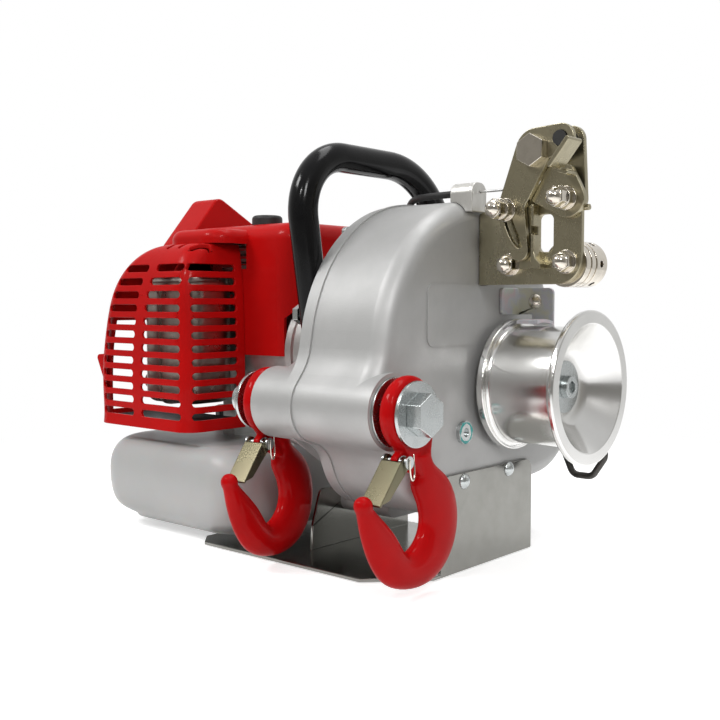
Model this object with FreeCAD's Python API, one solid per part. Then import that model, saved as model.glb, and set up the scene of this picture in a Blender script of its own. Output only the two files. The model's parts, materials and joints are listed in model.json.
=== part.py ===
import FreeCAD, Part
import math
import os

# Portable petrol capstan winch, in millimetres.
# Origin: middle of the base plate's underside. X runs along the drum axis from engine to drum,
# Y from the anchor hooks at the front to the load side at the rear, Z up.

V = FreeCAD.Vector

# Named clearances
RUN_FIT = 0.08          # radial play of a turning fit
SLIDE_GAP = 0.3         # gap between neighbours that move or are curved
SEAT_GAP = 0.1          # radial play of a bolt or plug in its own hole

# Base: folded stainless sheet
PLATE_X = 208.0
PLATE_Y = 160.0
SHEET = 2.5
FLANGE_TOP = 69.0
FLANGE_FRONT = 44.0     # set-back of the drum-side flange from the plate's front edge
ENGINE_FLANGE_X = -12.0
ENGINE_FLANGE_TOP = 47.0
PLATE_CHAMFER = 13.5

# Gear case
CASE_FACE = PLATE_X / 2 - SHEET     # outer face of the casting on the drum side
CASE_DEPTH = 74.5                   # cover and casting together
COVER_DEPTH = 11.0
CASE_WALL = 6.0
CASE_ROUND = 13.0
CRANK_Y = 17.0
CRANK_Z = 148.0
CASE_R = 111.0
CASE_REAR_R = 100.0
CASE_FOOT_Y = 99.0
CASE_FOOT_Z = 107.0
CASE_FOOT_R = 55.0
CASE_TOE_Y = -28.0
CASE_TOE_Z = 88.0
CASE_TOE_R = 46.0

# Anchor barrel and hooks
ANCHOR_INSET = 6.0      # distance of the anchor axis behind the crown's foremost line
ANCHOR_Y = CRANK_Y - CASE_R + ANCHOR_INSET
ANCHOR_Z = 118.0
BARREL_R = 25.0
BARREL_LEFT = -1.5
BARREL_RIGHT = CASE_FACE + SHEET
ANCHOR_BOLT_R = 8.0
ANCHOR_HEX = 24.0
ANCHOR_HEAD = 10.5
ANCHOR_NUT = 10.0
WASHER_R = 21.0
WASHER_T = 2.5
RING_R = 22.5
RING_T = 2.0
HOOK_T = 16.0
HOOK_PLAY = 3.5         # room beside the right hook's eye
HOOK_YAW = 8.0          # the left hook hangs turned by its play, degrees
EYE_R = 24.0
EYE_T = 12.0
EYE_ROUND = 5.5
EYE_BORE = ANCHOR_BOLT_R + 1.3
LATCH_SHEET = 1.6
LATCH_PIN_R = 2.5

# Drum
DRUM_Y = 47.0
DRUM_Z = 128.0
DRUM_R = 42.5
DRUM_START = CASE_FACE + 5.5
DRUM_LENGTH = 64.3
INNER_FLANGE_R = 47.5
INNER_FLANGE_T = 5.5
OUTER_FLANGE_R = 54.2
OUTER_FLANGE_T = 4.5
DRUM_WALL = 5.0
DRUM_HUB = 41.5         # hub length, from the inner end to the dish floor
DRUM_DISC = 12.0        # web between hub and barrel
DISH_ROUND = 12.0
RIM_FACE = 9.6          # width of the flat ring at the outer end
SHAFT_R = 12.5
DRUM_BOLT_R = 5.0
DRUM_WASHER_R = 18.5

# Gear train: teeth and modules of the three stages
INPUT_TEETH = 12
FIRST_TEETH = 60
FIRST_MODULE = 1.0
FIRST_PINION = 12
SECOND_TEETH = 52
SECOND_MODULE = 1.5
SECOND_PINION = 13
OUTPUT_TEETH = 47
OUTPUT_MODULE = 2.0
FIRST_ANGLE = 187.0     # direction of the first countershaft from the input shaft, degrees
FACE_1 = 10.0
FACE_2 = 12.0
FACE_3 = 18.0
GEAR_GAP = 3.0          # free space between neighbouring gears along X
JOURNAL_R = 6.0
BEARING_WALL = 6.0
BEARING_W = 9.0

# Handle
TUBE_R = 10.5
TUBE_WALL = 2.0
HANDLE_Z = 291.0
HANDLE_FRONT_Y = -65.5  # feet
HANDLE_REAR_Y = 82.0
HANDLE_FRONT_LEAN = 20.5
HANDLE_REAR_LEAN = 4.0
HANDLE_FOOT_Z = 165.0
HANDLE_FRONT_BEND = 40.0
HANDLE_REAR_BEND = 70.0

# Engine
ENGINE_WALL = 2.5
BELL_R = 50.0
BELL_WALL = 5.0
BELL_END = -46.0
CRANKCASE_R = 42.0
CRANKCASE_LENGTH = 104.0
CYLINDER_X = -105.0
FIN_SIDE = 74.0
FIN_T = 2.6
FIN_PITCH = 6.6
FIN_COUNT = 8
BORE_BLOCK_R = 27.0
HOOD_TOP = 250.5
HOOD_LOW = 145.0
HOOD_RIGHT = -42.0
HOOD_REAR = 55.0
HOOD_LEFT_R = 16.0      # upright corners
HOOD_RIGHT_R = 22.0
HOOD_ROUND = 14.0       # top edge
GUARD_LEFT = -221.0
GUARD_RIGHT = -99.0
GUARD_FRONT = -88.0
GUARD_REAR = -28.0
GUARD_LOW = 86.0
GUARD_TOP = 234.0
GUARD_ROUND = 16.0
GUARD_CURVE_H = 116.0   # height of the left side's elliptic shoulder
GUARD_CURVE_X = 64.0    # its pull-in at the top
GUARD_FRONT_H = 44.0    # the same for the front
GUARD_CURVE_Y = 24.0
SLIT_ROWS = 12
SLIT_PITCH = 10.6
SLIT_H = 5.6
SLIT_LOW = 98.0
FLYWHEEL_R = 36.0
FLYWHEEL_T = 16.0
STARTER_T = 36.0
TANK_LEFT = -222.0
TANK_RIGHT = -46.0
TANK_FRONT = -88.0
TANK_REAR = 66.0
TANK_LOW = 8.0
TANK_TOP = 75.0
TANK_ROUND = 30.0
TANK_WALL = 2.5

# Rope lock
LOCK_PLATE = 4.5
LOCK_FRONT = 8.0        # front face of the main plate
LOCK_RIGHT = 182.5
LOCK_LOW = 199.5
LOCK_TOP = 263.0
PIVOT_X = 174.0
PIVOT_Z = 255.0
GUIDE_X = 131.0
GUIDE_Z = 249.5
ARM_T = 4.0
ARM_TURN = 33.0
CAM_T = 4.0
CAM_R = 12.5
LOCK_BOLT_R = 3.0
ACORN_R = 6.6
HUB_R = 15.5
HUB_LENGTH = 30.0
CABLE_R = 2.5
WIRE_R = 0.8
CABLE_Z = CRANK_Z + CASE_R + 5.0
CABLE_Y = 5.3


def at(plane, u, v, level):
    """Point of a flat drawing: plane x holds (y, z), plane y holds (x, z), plane z holds (x, y)."""
    if plane == "x":
        return V(level, u, v)
    if plane == "y":
        return V(u, level, v)
    return V(u, v, level)


def along(plane, length):
    """Vector of the given length square to a drawing plane."""
    return at(plane, 0, 0, length)


def belt(plane, level, circles):
    """Closed outline of tangent lines and arcs round circles (u, v, radius), taken anticlockwise.

    A negative radius is a hollow that the outline passes on its other side.
    """
    legs = []
    count = len(circles)
    for i, (u1, v1, r1) in enumerate(circles):
        u2, v2, r2 = circles[(i + 1) % count]
        du, dv = u2 - u1, v2 - v1
        span = math.hypot(du, dv)
        k = (r1 - r2) / span
        s = math.sqrt(max(0, 1 - k * k))
        mu, mv = (du * k + dv * s) / span, (dv * k - du * s) / span
        legs.append((math.atan2(mv, mu), (u1 + r1 * mu, v1 + r1 * mv), (u2 + r2 * mu, v2 + r2 * mv)))
    edges = []
    for i, (u, v, r) in enumerate(circles):
        turn_in, _, start = legs[i - 1]
        turn_out, end, _ = legs[i]
        sweep = (turn_out - turn_in) % (2 * math.pi)
        if r < 0:
            sweep -= 2 * math.pi
        if abs(r) > 1e-6 and 1e-6 < abs(sweep) < 2 * math.pi - 1e-6:
            middle = turn_in + sweep / 2
            mid = (u + r * math.cos(middle), v + r * math.sin(middle))
            points = [at(plane, *p, level) for p in (start, mid, end)]
            edges.append(Part.Arc(*points).toShape())
        far = legs[i][2]
        if math.dist(end, far) > 1e-6:
            edges.append(Part.makeLine(at(plane, *end, level), at(plane, *far, level)))
    return Part.Wire(edges)


def slab(plane, level, depth, circles):
    """Plate of a belt outline, from level to level + depth."""
    return Part.Face(belt(plane, level, circles)).extrude(along(plane, depth))


def rod(plane, u, v, start, end, radius):
    """Round bar square to a drawing plane."""
    return Part.makeCylinder(radius, end - start, at(plane, u, v, start), along(plane, 1))


def tube(plane, u, v, start, end, radius, bore):
    """Round bar with a hole right through."""
    return rod(plane, u, v, start, end, radius).cut(rod(plane, u, v, start - 1, end + 1, bore))


def box(x0, x1, y0, y1, z0, z1):
    """Block between two corners."""
    return Part.makeBox(x1 - x0, y1 - y0, z1 - z0, V(x0, y0, z0))


def rounded(u0, u1, v0, v1, r):
    """Belt circles of a rectangle with round corners."""
    return [(u0 + r, v0 + r, r), (u1 - r, v0 + r, r), (u1 - r, v1 - r, r), (u0 + r, v1 - r, r)]


def hexagon(plane, u, v, start, height, flats):
    """Hexagon head or nut."""
    radius = flats / math.sqrt(3)
    corners = []
    for k in range(7):
        angle = math.radians(30 + 60 * k)
        corners.append(at(plane, u + radius * math.cos(angle), v + radius * math.sin(angle), start))
    return Part.Face(Part.makePolygon(corners)).extrude(along(plane, height))


def turned(profile, y, z):
    """Solid of revolution about an X axis; the profile is a list of (x, radius)."""
    points = [V(x, y, z + r) for x, r in profile]
    points.append(points[0])
    face = Part.Face(Part.makePolygon(points))
    return face.revolve(V(0, y, z), V(1, 0, 0), 360)


def fuse(shapes):
    """One solid of several that touch or overlap."""
    return shapes[0].multiFuse(shapes[1:]).removeSplitter()


def group(shapes):
    """Separate like solids in one node."""
    return Part.makeCompound(shapes)


def round_edges(shape, radius, wanted):
    """Round the edges that a test on their centre and length picks."""
    return shape.makeFillet(radius, [e for e in shape.Edges if wanted(e)])


def route(points):
    """Wire of straight runs joined by tangent arcs as large as the runs allow."""
    vectors = [V(*p) for p in points]
    edges = []
    last = vectors[0]
    for before, corner, after in zip(vectors, vectors[1:], vectors[2:]):
        back, ahead = before - corner, after - corner
        reach = 0.45 * min(back.Length, ahead.Length)
        back.normalize()
        ahead.normalize()
        begin, end = corner + back * reach, corner + ahead * reach
        half = back.getAngle(ahead) / 2
        inward = back + ahead
        inward.normalize()
        radius = reach * math.tan(half)
        middle = corner + inward * (radius / math.sin(half) - radius)
        edges.append(Part.makeLine(last, begin))
        edges.append(Part.Arc(begin, middle, end).toShape())
        last = end
    edges.append(Part.makeLine(last, vectors[-1]))
    return Part.Wire(edges)


def bent(points, bends):
    """Wire of straight runs joined by tangent arcs of the given radii, smaller where a run is short."""
    edges = []
    last = points[0]
    for before, corner, after, radius in zip(points, points[1:], points[2:], bends):
        back, ahead = before - corner, after - corner
        shortest = min(back.Length, ahead.Length)
        half = back.getAngle(ahead) / 2
        back.normalize()
        ahead.normalize()
        reach = min(radius / math.tan(half), 0.58 * shortest)
        bend = reach * math.tan(half)
        inward = (back + ahead).normalize()
        begin, end = corner + back * reach, corner + ahead * reach
        edges.append(Part.makeLine(last, begin))
        edges.append(Part.Arc(begin, corner + inward * (bend / math.sin(half) - bend), end).toShape())
        last = end
    edges.append(Part.makeLine(last, points[-1]))
    return Part.Wire(edges)


def pipe(path, radius):
    """Round cord, hose or rod along a wire."""
    start = path.Edges[0]
    heading = start.tangentAt(start.FirstParameter)
    ring = Part.Wire(Part.makeCircle(radius, start.valueAt(start.FirstParameter), heading))
    return path.makePipeShell([ring], True, False)


# Gear train

def meet(c1, r1, c2, r2):
    """Lower crossing of two circles, which places a countershaft."""
    span = math.dist(c1, c2)
    a = (r1 * r1 - r2 * r2 + span * span) / (2 * span)
    h = math.sqrt(r1 * r1 - a * a)
    ux, uy = (c2[0] - c1[0]) / span, (c2[1] - c1[1]) / span
    options = [(c1[0] + a * ux + s * h * uy, c1[1] + a * uy - s * h * ux) for s in (1, -1)]
    return min(options, key=lambda p: p[1])


INPUT_AXIS = (CRANK_Y, CRANK_Z)
OUTPUT_AXIS = (DRUM_Y, DRUM_Z)
REACH_1 = FIRST_MODULE * (INPUT_TEETH + FIRST_TEETH) / 2
REACH_2 = SECOND_MODULE * (FIRST_PINION + SECOND_TEETH) / 2
REACH_3 = OUTPUT_MODULE * (SECOND_PINION + OUTPUT_TEETH) / 2
FIRST_AXIS = (
    CRANK_Y + REACH_1 * math.cos(math.radians(FIRST_ANGLE)),
    CRANK_Z + REACH_1 * math.sin(math.radians(FIRST_ANGLE)),
)
SECOND_AXIS = meet(FIRST_AXIS, REACH_2, OUTPUT_AXIS, REACH_3)

CASE_LEFT = CASE_FACE - CASE_DEPTH
CASE_SPLIT = CASE_LEFT + COVER_DEPTH
INSIDE_LEFT = CASE_LEFT + CASE_WALL
INSIDE_RIGHT = CASE_FACE - CASE_WALL
STAGE_1 = INSIDE_LEFT + GEAR_GAP
STAGE_2 = STAGE_1 + FACE_1 + GEAR_GAP
STAGE_3 = STAGE_2 + FACE_2 + GEAR_GAP


def gear(x, face, axis, module, teeth, phase):
    """Spur gear blank with straight-flanked teeth, thinned for backlash."""
    pitch_r = module * teeth / 2
    base_r = pitch_r * math.cos(math.radians(20))
    tip_r, root_r = pitch_r + 0.85 * module, pitch_r - 1.15 * module
    inv_20 = math.tan(math.radians(20)) - math.radians(20)

    def half_angle(r):
        roll = math.acos(min(1, base_r / r))
        return 0.86 * math.pi / (2 * teeth) + inv_20 - (math.tan(roll) - roll)

    points = []
    for k in range(teeth):
        middle = phase + 2 * math.pi * k / teeth
        for r, side in ((root_r, -1), (tip_r, -1), (tip_r, 1), (root_r, 1)):
            angle = middle + side * half_angle(r)
            points.append(V(x, axis[0] + r * math.cos(angle), axis[1] + r * math.sin(angle)))
    points.append(points[0])
    return Part.Face(Part.makePolygon(points)).extrude(V(face, 0, 0))


def mesh_phase(axis_1, teeth_1, phase_1, axis_2, teeth_2):
    """Angle that puts a gap of the second gear at the tooth of the first."""
    line = math.atan2(axis_2[1] - axis_1[1], axis_2[0] - axis_1[0])
    return line + math.pi + (line - phase_1) * teeth_1 / teeth_2 + math.pi / teeth_2


PHASE_1 = mesh_phase(INPUT_AXIS, INPUT_TEETH, 0, FIRST_AXIS, FIRST_TEETH)
PHASE_2 = mesh_phase(FIRST_AXIS, FIRST_PINION, 0, SECOND_AXIS, SECOND_TEETH)
PHASE_3 = mesh_phase(SECOND_AXIS, SECOND_PINION, 0, OUTPUT_AXIS, OUTPUT_TEETH)
BEARING_R = JOURNAL_R + RUN_FIT + BEARING_WALL
OUT_BEARING_R = SHAFT_R + RUN_FIT + BEARING_WALL
BOSS_DEPTH = 5.0
BLIND_WALL = 1.0        # metal left behind a blind bearing hole
RING_W = BEARING_W - 2.0
SHAFT_LEFT = CASE_LEFT + BLIND_WALL + SLIDE_GAP
SHAFT_RIGHT = INSIDE_RIGHT + SLIDE_GAP
CLUTCH_X = -8.0         # engine-side end of the input shaft
INPUT_R = JOURNAL_R - 1.5
SEAL_W = 4.0
OUT_BEARING_X = CASE_FACE - SEAL_W - BEARING_W


def input_pinion():
    """Short shaft that carries the clutch drum outside the cover and the pinion inside."""
    y, z = INPUT_AXIS
    teeth = gear(STAGE_1, FACE_1, INPUT_AXIS, FIRST_MODULE, INPUT_TEETH, 0)
    shaft = rod("x", y, z, CLUTCH_X, STAGE_1 + 0.5, INPUT_R)
    return fuse([teeth, shaft])


def cluster_gear(axis, wheel, pinion, start, end):
    """Countershaft with its wheel and pinion in one piece."""
    y, z = axis
    shaft = rod("x", y, z, start, end, JOURNAL_R)
    return fuse([shaft, wheel, pinion])


def first_cluster_gear():
    wheel = gear(STAGE_1, FACE_1, FIRST_AXIS, FIRST_MODULE, FIRST_TEETH, PHASE_1)
    pinion = gear(STAGE_2, FACE_2, FIRST_AXIS, SECOND_MODULE, FIRST_PINION, 0)
    return cluster_gear(FIRST_AXIS, wheel, pinion, SHAFT_LEFT, SHAFT_RIGHT)


def second_cluster_gear():
    wheel = gear(STAGE_2, FACE_2, SECOND_AXIS, SECOND_MODULE, SECOND_TEETH, PHASE_2)
    pinion = gear(STAGE_3, FACE_3, SECOND_AXIS, OUTPUT_MODULE, SECOND_PINION, 0)
    return cluster_gear(SECOND_AXIS, wheel, pinion, SHAFT_LEFT, SHAFT_RIGHT)


def output_gear():
    """Large last wheel, bored for the drum shaft and lightened by a ring groove."""
    wheel = gear(STAGE_3, FACE_3, OUTPUT_AXIS, OUTPUT_MODULE, OUTPUT_TEETH, PHASE_3)
    y, z = OUTPUT_AXIS
    rim = OUTPUT_MODULE * OUTPUT_TEETH / 2 - 4 * OUTPUT_MODULE
    groove = tube("x", y, z, STAGE_3 + FACE_3 * 0.65, STAGE_3 + FACE_3 + 1, rim, SHAFT_R + 7)
    return wheel.cut(rod("x", y, z, STAGE_3 - 1, STAGE_3 + FACE_3 + 1, SHAFT_R + SEAT_GAP)).cut(groove)


WEB_FACE = DRUM_START + DRUM_HUB


def output_shaft():
    """Drum shaft from the cover bearing through the case to the drum's web, with its thread hole."""
    y, z = OUTPUT_AXIS
    shaft = rod("x", y, z, SHAFT_LEFT, WEB_FACE - SLIDE_GAP, SHAFT_R)
    return shaft.cut(rod("x", y, z, WEB_FACE - 26, WEB_FACE, DRUM_BOLT_R + SEAT_GAP))


def bearing_sites():
    """Countershaft bearing rings: axis and start."""
    left, right = CASE_LEFT + BLIND_WALL, INSIDE_RIGHT - BEARING_W + BLIND_WALL
    return [(axis, x) for axis in (FIRST_AXIS, SECOND_AXIS) for x in (left, right)]


def shaft_bearings():
    """Rings of the two countershafts, the input shaft and the drum shaft."""
    left = CASE_LEFT + BLIND_WALL
    rings = []
    for (y, z), x in bearing_sites():
        rings.append(tube("x", y, z, x, x + RING_W, BEARING_R, JOURNAL_R + RUN_FIT))
    rings.append(tube("x", *INPUT_AXIS, left, left + RING_W, BEARING_R, INPUT_R + RUN_FIT))
    for x in (left, OUT_BEARING_X):
        rings.append(tube("x", *OUTPUT_AXIS, x, x + RING_W, OUT_BEARING_R, SHAFT_R + RUN_FIT))
    return group(rings)


def output_seal():
    """Lip seal ring between the drum shaft and the case wall."""
    y, z = OUTPUT_AXIS
    return tube("x", y, z, CASE_FACE - SEAL_W, CASE_FACE, OUT_BEARING_R, SHAFT_R + RUN_FIT)


# Gear case

TOP_HOLLOW_R = 38.0
LOW_HOLLOW_R = 26.0
PLUG_AT = (-8.0, 97.0)
PLUG_R = 6.0
PAD_BOX = (-50.0, 4.0, 158.0, 200.0)     # cast pad on the drum-side face: y and z limits
PAD_HEIGHT = 0.8
SCREW_R = 3.0
CASE_BOLT_R = 2.0
FLANGE_SCREWS = [(-9.0, FLANGE_TOP - 6.0), (48.0, FLANGE_TOP - 4.5)]
FOOT_SCREWS = (2.0, 32.0)
FOOT_SCREW_Z = 37.0
FOOT_DEPTH = 20.0


def hollow(c1, r1, c2, r2, r, upper):
    """Circle of radius r that lies outside two others, for a hollow between them."""
    a, b = r1 + r + 0.5, r2 + r + 0.5
    span = math.dist(c1, c2)
    u = (a * a - b * b + span * span) / (2 * span)
    h = math.sqrt(a * a - u * u)
    ey, ez = (c2[0] - c1[0]) / span, (c2[1] - c1[1]) / span
    options = [(c1[0] + u * ey + s * h * ez, c1[1] + u * ez - s * h * ey) for s in (1, -1)]
    pick = max if upper else min
    y, z = pick(options, key=lambda p: p[1])
    return (y, z, -r)


def case_circles(inset):
    """Round body of the gear case in the YZ plane, set in by a wall: toe, foot, rear and crown."""
    return [
        (CASE_TOE_Y, CASE_TOE_Z, CASE_TOE_R - inset),
        (CASE_FOOT_Y, CASE_FOOT_Z, CASE_FOOT_R - inset),
        (CRANK_Y, CRANK_Z + CASE_R - CASE_REAR_R, CASE_REAR_R - inset),
        (CRANK_Y, CRANK_Z, CASE_R - inset),
    ]


def case_outline(grow):
    """Case body with the S-shaped front that runs out to the anchor barrel."""
    toe, foot, rear, crown = case_circles(-grow)
    barrel = (ANCHOR_Y, ANCHOR_Z, BARREL_R + grow)
    top = hollow(crown[:2], crown[2], barrel[:2], barrel[2], TOP_HOLLOW_R - grow, True)
    low = hollow(barrel[:2], barrel[2], toe[:2], toe[2], LOW_HOLLOW_R - grow, False)
    return [toe, foot, rear, crown, top, barrel, low]


def case_bolt_sites():
    """Centres of the cover bolts, in the middle of the case wall."""
    sites = []
    for angle in (62, 93, 124):
        turn = math.radians(angle)
        reach = CASE_R - CASE_WALL / 2
        centre_z = CRANK_Z
        if angle < 90:
            reach = CASE_REAR_R - CASE_WALL / 2
            centre_z = CRANK_Z + CASE_R - CASE_REAR_R
        sites.append((CRANK_Y + reach * math.cos(turn), centre_z + reach * math.sin(turn)))
    for angle in (-80, -30, 10):
        turn = math.radians(angle)
        reach = CASE_FOOT_R - CASE_WALL / 2
        sites.append((CASE_FOOT_Y + reach * math.cos(turn), CASE_FOOT_Z + reach * math.sin(turn)))
    return sites


def gear_case():
    """Deep drum-side casting with its anchor barrel, bearing bosses and screw holes."""
    body = slab("x", CASE_SPLIT, CASE_FACE - CASE_SPLIT, case_outline(0))
    body = round_edges(body, CASE_ROUND, lambda e: e.BoundBox.XMin > CASE_FACE - 0.01)
    barrel = rod("x", ANCHOR_Y, ANCHOR_Z, CASE_SPLIT, BARREL_RIGHT, BARREL_R)
    pad = slab("x", CASE_FACE - 1, 1 + PAD_HEIGHT, rounded(*PAD_BOX, 6))
    body = fuse([body, barrel, pad])
    body = body.cut(slab("x", CASE_SPLIT - 1, INSIDE_RIGHT - CASE_SPLIT + 1, case_circles(CASE_WALL)))
    bosses = [rod("x", *axis, INSIDE_RIGHT - BOSS_DEPTH, INSIDE_RIGHT + 1, BEARING_R + 4)
              for axis in (FIRST_AXIS, SECOND_AXIS)]
    bosses.append(rod("x", *OUTPUT_AXIS, INSIDE_RIGHT - BOSS_DEPTH, INSIDE_RIGHT + 1, OUT_BEARING_R + 5))
    body = fuse([body] + bosses)
    holes = [rod("x", *axis, x, x + BEARING_W, BEARING_R + SEAT_GAP)
             for axis, x in bearing_sites() if x > CASE_SPLIT]
    holes.append(rod("x", *OUTPUT_AXIS, OUT_BEARING_X, CASE_FACE + 1, OUT_BEARING_R + SEAT_GAP))
    holes.append(rod("x", *OUTPUT_AXIS, INSIDE_RIGHT - BOSS_DEPTH - 1, CASE_FACE, SHAFT_R + 1))
    holes.append(rod("x", ANCHOR_Y, ANCHOR_Z, CASE_SPLIT - 1, BARREL_RIGHT + 1, ANCHOR_BOLT_R + SEAT_GAP))
    holes.append(rod("x", *PLUG_AT, INSIDE_RIGHT - 1, CASE_FACE + 1, PLUG_R + SEAT_GAP))
    for y, z in FLANGE_SCREWS + LOCK_SCREWS:
        holes.append(rod("x", y, z, CASE_FACE - 5, CASE_FACE + 1, SCREW_R + SEAT_GAP))
    for y, z in case_bolt_sites():
        holes.append(rod("x", y, z, CASE_SPLIT - 1, CASE_SPLIT + 12, CASE_BOLT_R + SEAT_GAP))
    for y, z in KEEPER_ENDS:
        holes.append(rod("x", y, z, CASE_FACE - 4, CASE_FACE + 1, KEEPER_R + SEAT_GAP))
    return body.cut(Part.makeCompound(holes))


def flare():
    """Casting that narrows from the cover's front to the long left end of the anchor barrel."""
    wide = belt("x", CASE_LEFT, [(ANCHOR_Y + 33, ANCHOR_Z - 23, 26), (ANCHOR_Y + 22, ANCHOR_Z + 22, 22),
                                 (ANCHOR_Y, ANCHOR_Z, BARREL_R)])
    slim = belt("x", BARREL_LEFT + 10, [(ANCHOR_Y + 10, ANCHOR_Z - 8, 18), (ANCHOR_Y + 8, ANCHOR_Z + 8, 18),
                                        (ANCHOR_Y, ANCHOR_Z, BARREL_R - 1)])
    return Part.makeLoft([wide, slim], True, True)


def case_cover():
    """Engine-side cover with the split ridge, the flare to the barrel and a foot on the base."""
    body = slab("x", CASE_LEFT, COVER_DEPTH, case_outline(0))
    ridge = slab("x", CASE_SPLIT - 3.0, 3.0, case_outline(1.2))
    barrel = rod("x", ANCHOR_Y, ANCHOR_Z, BARREL_LEFT, CASE_SPLIT, BARREL_R)
    foot_start = ENGINE_FLANGE_X + SHEET
    foot = slab("x", foot_start, CASE_SPLIT - foot_start, rounded(-12.0, 46.0, 27.0, 70.0, 8.0))
    body = fuse([body, ridge, barrel, flare(), foot])
    body = body.cut(slab("x", INSIDE_LEFT, CASE_SPLIT - INSIDE_LEFT + 1, case_circles(CASE_WALL)))
    holes = [rod("x", *axis, x, INSIDE_LEFT + 1, BEARING_R + SEAT_GAP)
             for axis, x in bearing_sites() if x < CASE_SPLIT]
    holes.append(rod("x", *OUTPUT_AXIS, CASE_LEFT + 1, INSIDE_LEFT + 1, OUT_BEARING_R + SEAT_GAP))
    holes.append(rod("x", *INPUT_AXIS, CASE_LEFT + 1, INSIDE_LEFT + 1, BEARING_R + SEAT_GAP))
    holes.append(rod("x", *INPUT_AXIS, CASE_LEFT - 1, INSIDE_LEFT + 1, JOURNAL_R + 1))
    holes.append(rod("x", ANCHOR_Y, ANCHOR_Z, BARREL_LEFT - 1, CASE_SPLIT + 1, ANCHOR_BOLT_R + SEAT_GAP))
    for y in FOOT_SCREWS:
        holes.append(rod("x", y, FOOT_SCREW_Z, ENGINE_FLANGE_X, ENGINE_FLANGE_X + FOOT_DEPTH,
                         SCREW_R + SEAT_GAP))
    for y, z in HANDLE_BOLTS:
        holes.append(rod("x", y, z, CASE_LEFT - 1, CASE_LEFT + CASE_WALL, HANDLE_BOLT_R + SEAT_GAP))
    for y, z in case_bolt_sites():
        holes.append(rod("x", y, z, CASE_LEFT - 1, CASE_SPLIT + 1, CASE_BOLT_R + SEAT_GAP))
    return body.cut(Part.makeCompound(holes))


def dome_screw(plane, u, v, face, out, radius, shank):
    """Button-head screw: a dome standing out from a face and its shank behind it."""
    head_r, head_h = radius * 1.9, radius * 1.1
    ball_r = (head_r ** 2 + head_h ** 2) / (2 * head_h)
    ball = Part.makeSphere(ball_r, at(plane, u, v, face + out * (head_h - ball_r)))
    low, high = sorted((face, face + out * (head_h + 1)))
    dome = ball.common(rod(plane, u, v, low, high, head_r))
    low, high = sorted((face - out * shank, face + out * 0.5))
    return fuse([dome, rod(plane, u, v, low, high, radius)])


def oil_plug():
    """Socket plug of the oil filling."""
    y, z = PLUG_AT
    head = tube("x", y, z, CASE_FACE, CASE_FACE + 3, PLUG_R + 2, PLUG_R * 0.55)
    return fuse([head, rod("x", y, z, INSIDE_RIGHT + 1, CASE_FACE + 0.8, PLUG_R)])


# Base

def base_plate():
    """Floor plate with a tall drum-side flange and a lower flange under the cover's foot."""
    hx, hy, c = PLATE_X / 2, PLATE_Y / 2, PLATE_CHAMFER
    step = FLANGE_FRONT - 8
    corners = [(-hx + c, -hy), (hx - step, -hy), (hx, -hy + step), (hx, hy),
               (-hx + c, hy), (-hx, hy - c), (-hx, -hy + c)]
    floor = Part.Face(Part.makePolygon([V(x, y, 0) for x, y in corners + corners[:1]]))
    floor = floor.extrude(V(0, 0, SHEET))
    front = -hy + FLANGE_FRONT
    tall = slab("x", hx - SHEET, SHEET, [(front, 0, 0), (hy, 0, 0), (hy - 8, FLANGE_TOP - 8, 8),
                                         (front + 8, FLANGE_TOP - 8, 8)])
    low = slab("x", ENGINE_FLANGE_X, SHEET, [(-44, 0, 0), (hy - 8, 0, 0), (hy - 16, ENGINE_FLANGE_TOP - 8, 8),
                                             (-30, ENGINE_FLANGE_TOP - 6, 6), (-41, 20, 2)])
    plate = fuse([floor, tall, low])
    holes = [rod("x", y, z, hx - SHEET - 1, hx + 1, SCREW_R + SEAT_GAP) for y, z in FLANGE_SCREWS]
    for y in FOOT_SCREWS:
        holes.append(rod("x", y, FOOT_SCREW_Z, ENGINE_FLANGE_X - 1, ENGINE_FLANGE_X + SHEET + 1,
                         SCREW_R + SEAT_GAP))
    return plate.cut(Part.makeCompound(holes))


def base_screws():
    """Four button-head screws that hold the case to the two flanges."""
    screws = [dome_screw("x", y, z, PLATE_X / 2, 1, SCREW_R, SHEET + 4) for y, z in FLANGE_SCREWS]
    for y in FOOT_SCREWS:
        screws.append(dome_screw("x", y, FOOT_SCREW_Z, ENGINE_FLANGE_X, -1, SCREW_R, FOOT_DEPTH - 2))
    return group(screws)


# Anchor bolt, hooks and latches

YAW_SINE, YAW_COSINE = math.sin(math.radians(HOOK_YAW)), math.cos(math.radians(HOOK_YAW))
YAW_ROOM = (EYE_R - EYE_ROUND) * YAW_SINE + (EYE_T / 2 - EYE_ROUND) * YAW_COSINE + EYE_ROUND
RIGHT_MID = BARREL_RIGHT + RING_T + HOOK_PLAY + EYE_T / 2
LEFT_MID = BARREL_LEFT - SLIDE_GAP - YAW_ROOM
RIGHT_WASHER = RIGHT_MID + EYE_T / 2 + SLIDE_GAP
LEFT_WASHER = LEFT_MID - YAW_ROOM - SLIDE_GAP - WASHER_T


def anchor_bolt():
    """Long hexagon bolt through barrel and hooks."""
    head = hexagon("x", ANCHOR_Y, ANCHOR_Z, RIGHT_WASHER + WASHER_T, ANCHOR_HEAD, ANCHOR_HEX)
    shank = rod("x", ANCHOR_Y, ANCHOR_Z, LEFT_WASHER - ANCHOR_NUT - 3, RIGHT_WASHER + WASHER_T + 1,
                ANCHOR_BOLT_R)
    return fuse([head, shank])


def anchor_nut():
    """Nut on the left end of the anchor bolt."""
    nut = hexagon("x", ANCHOR_Y, ANCHOR_Z, LEFT_WASHER - ANCHOR_NUT, ANCHOR_NUT, ANCHOR_HEX)
    return nut.cut(rod("x", ANCHOR_Y, ANCHOR_Z, LEFT_WASHER - ANCHOR_NUT - 1, LEFT_WASHER + 1,
                       ANCHOR_BOLT_R + SEAT_GAP))


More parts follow.
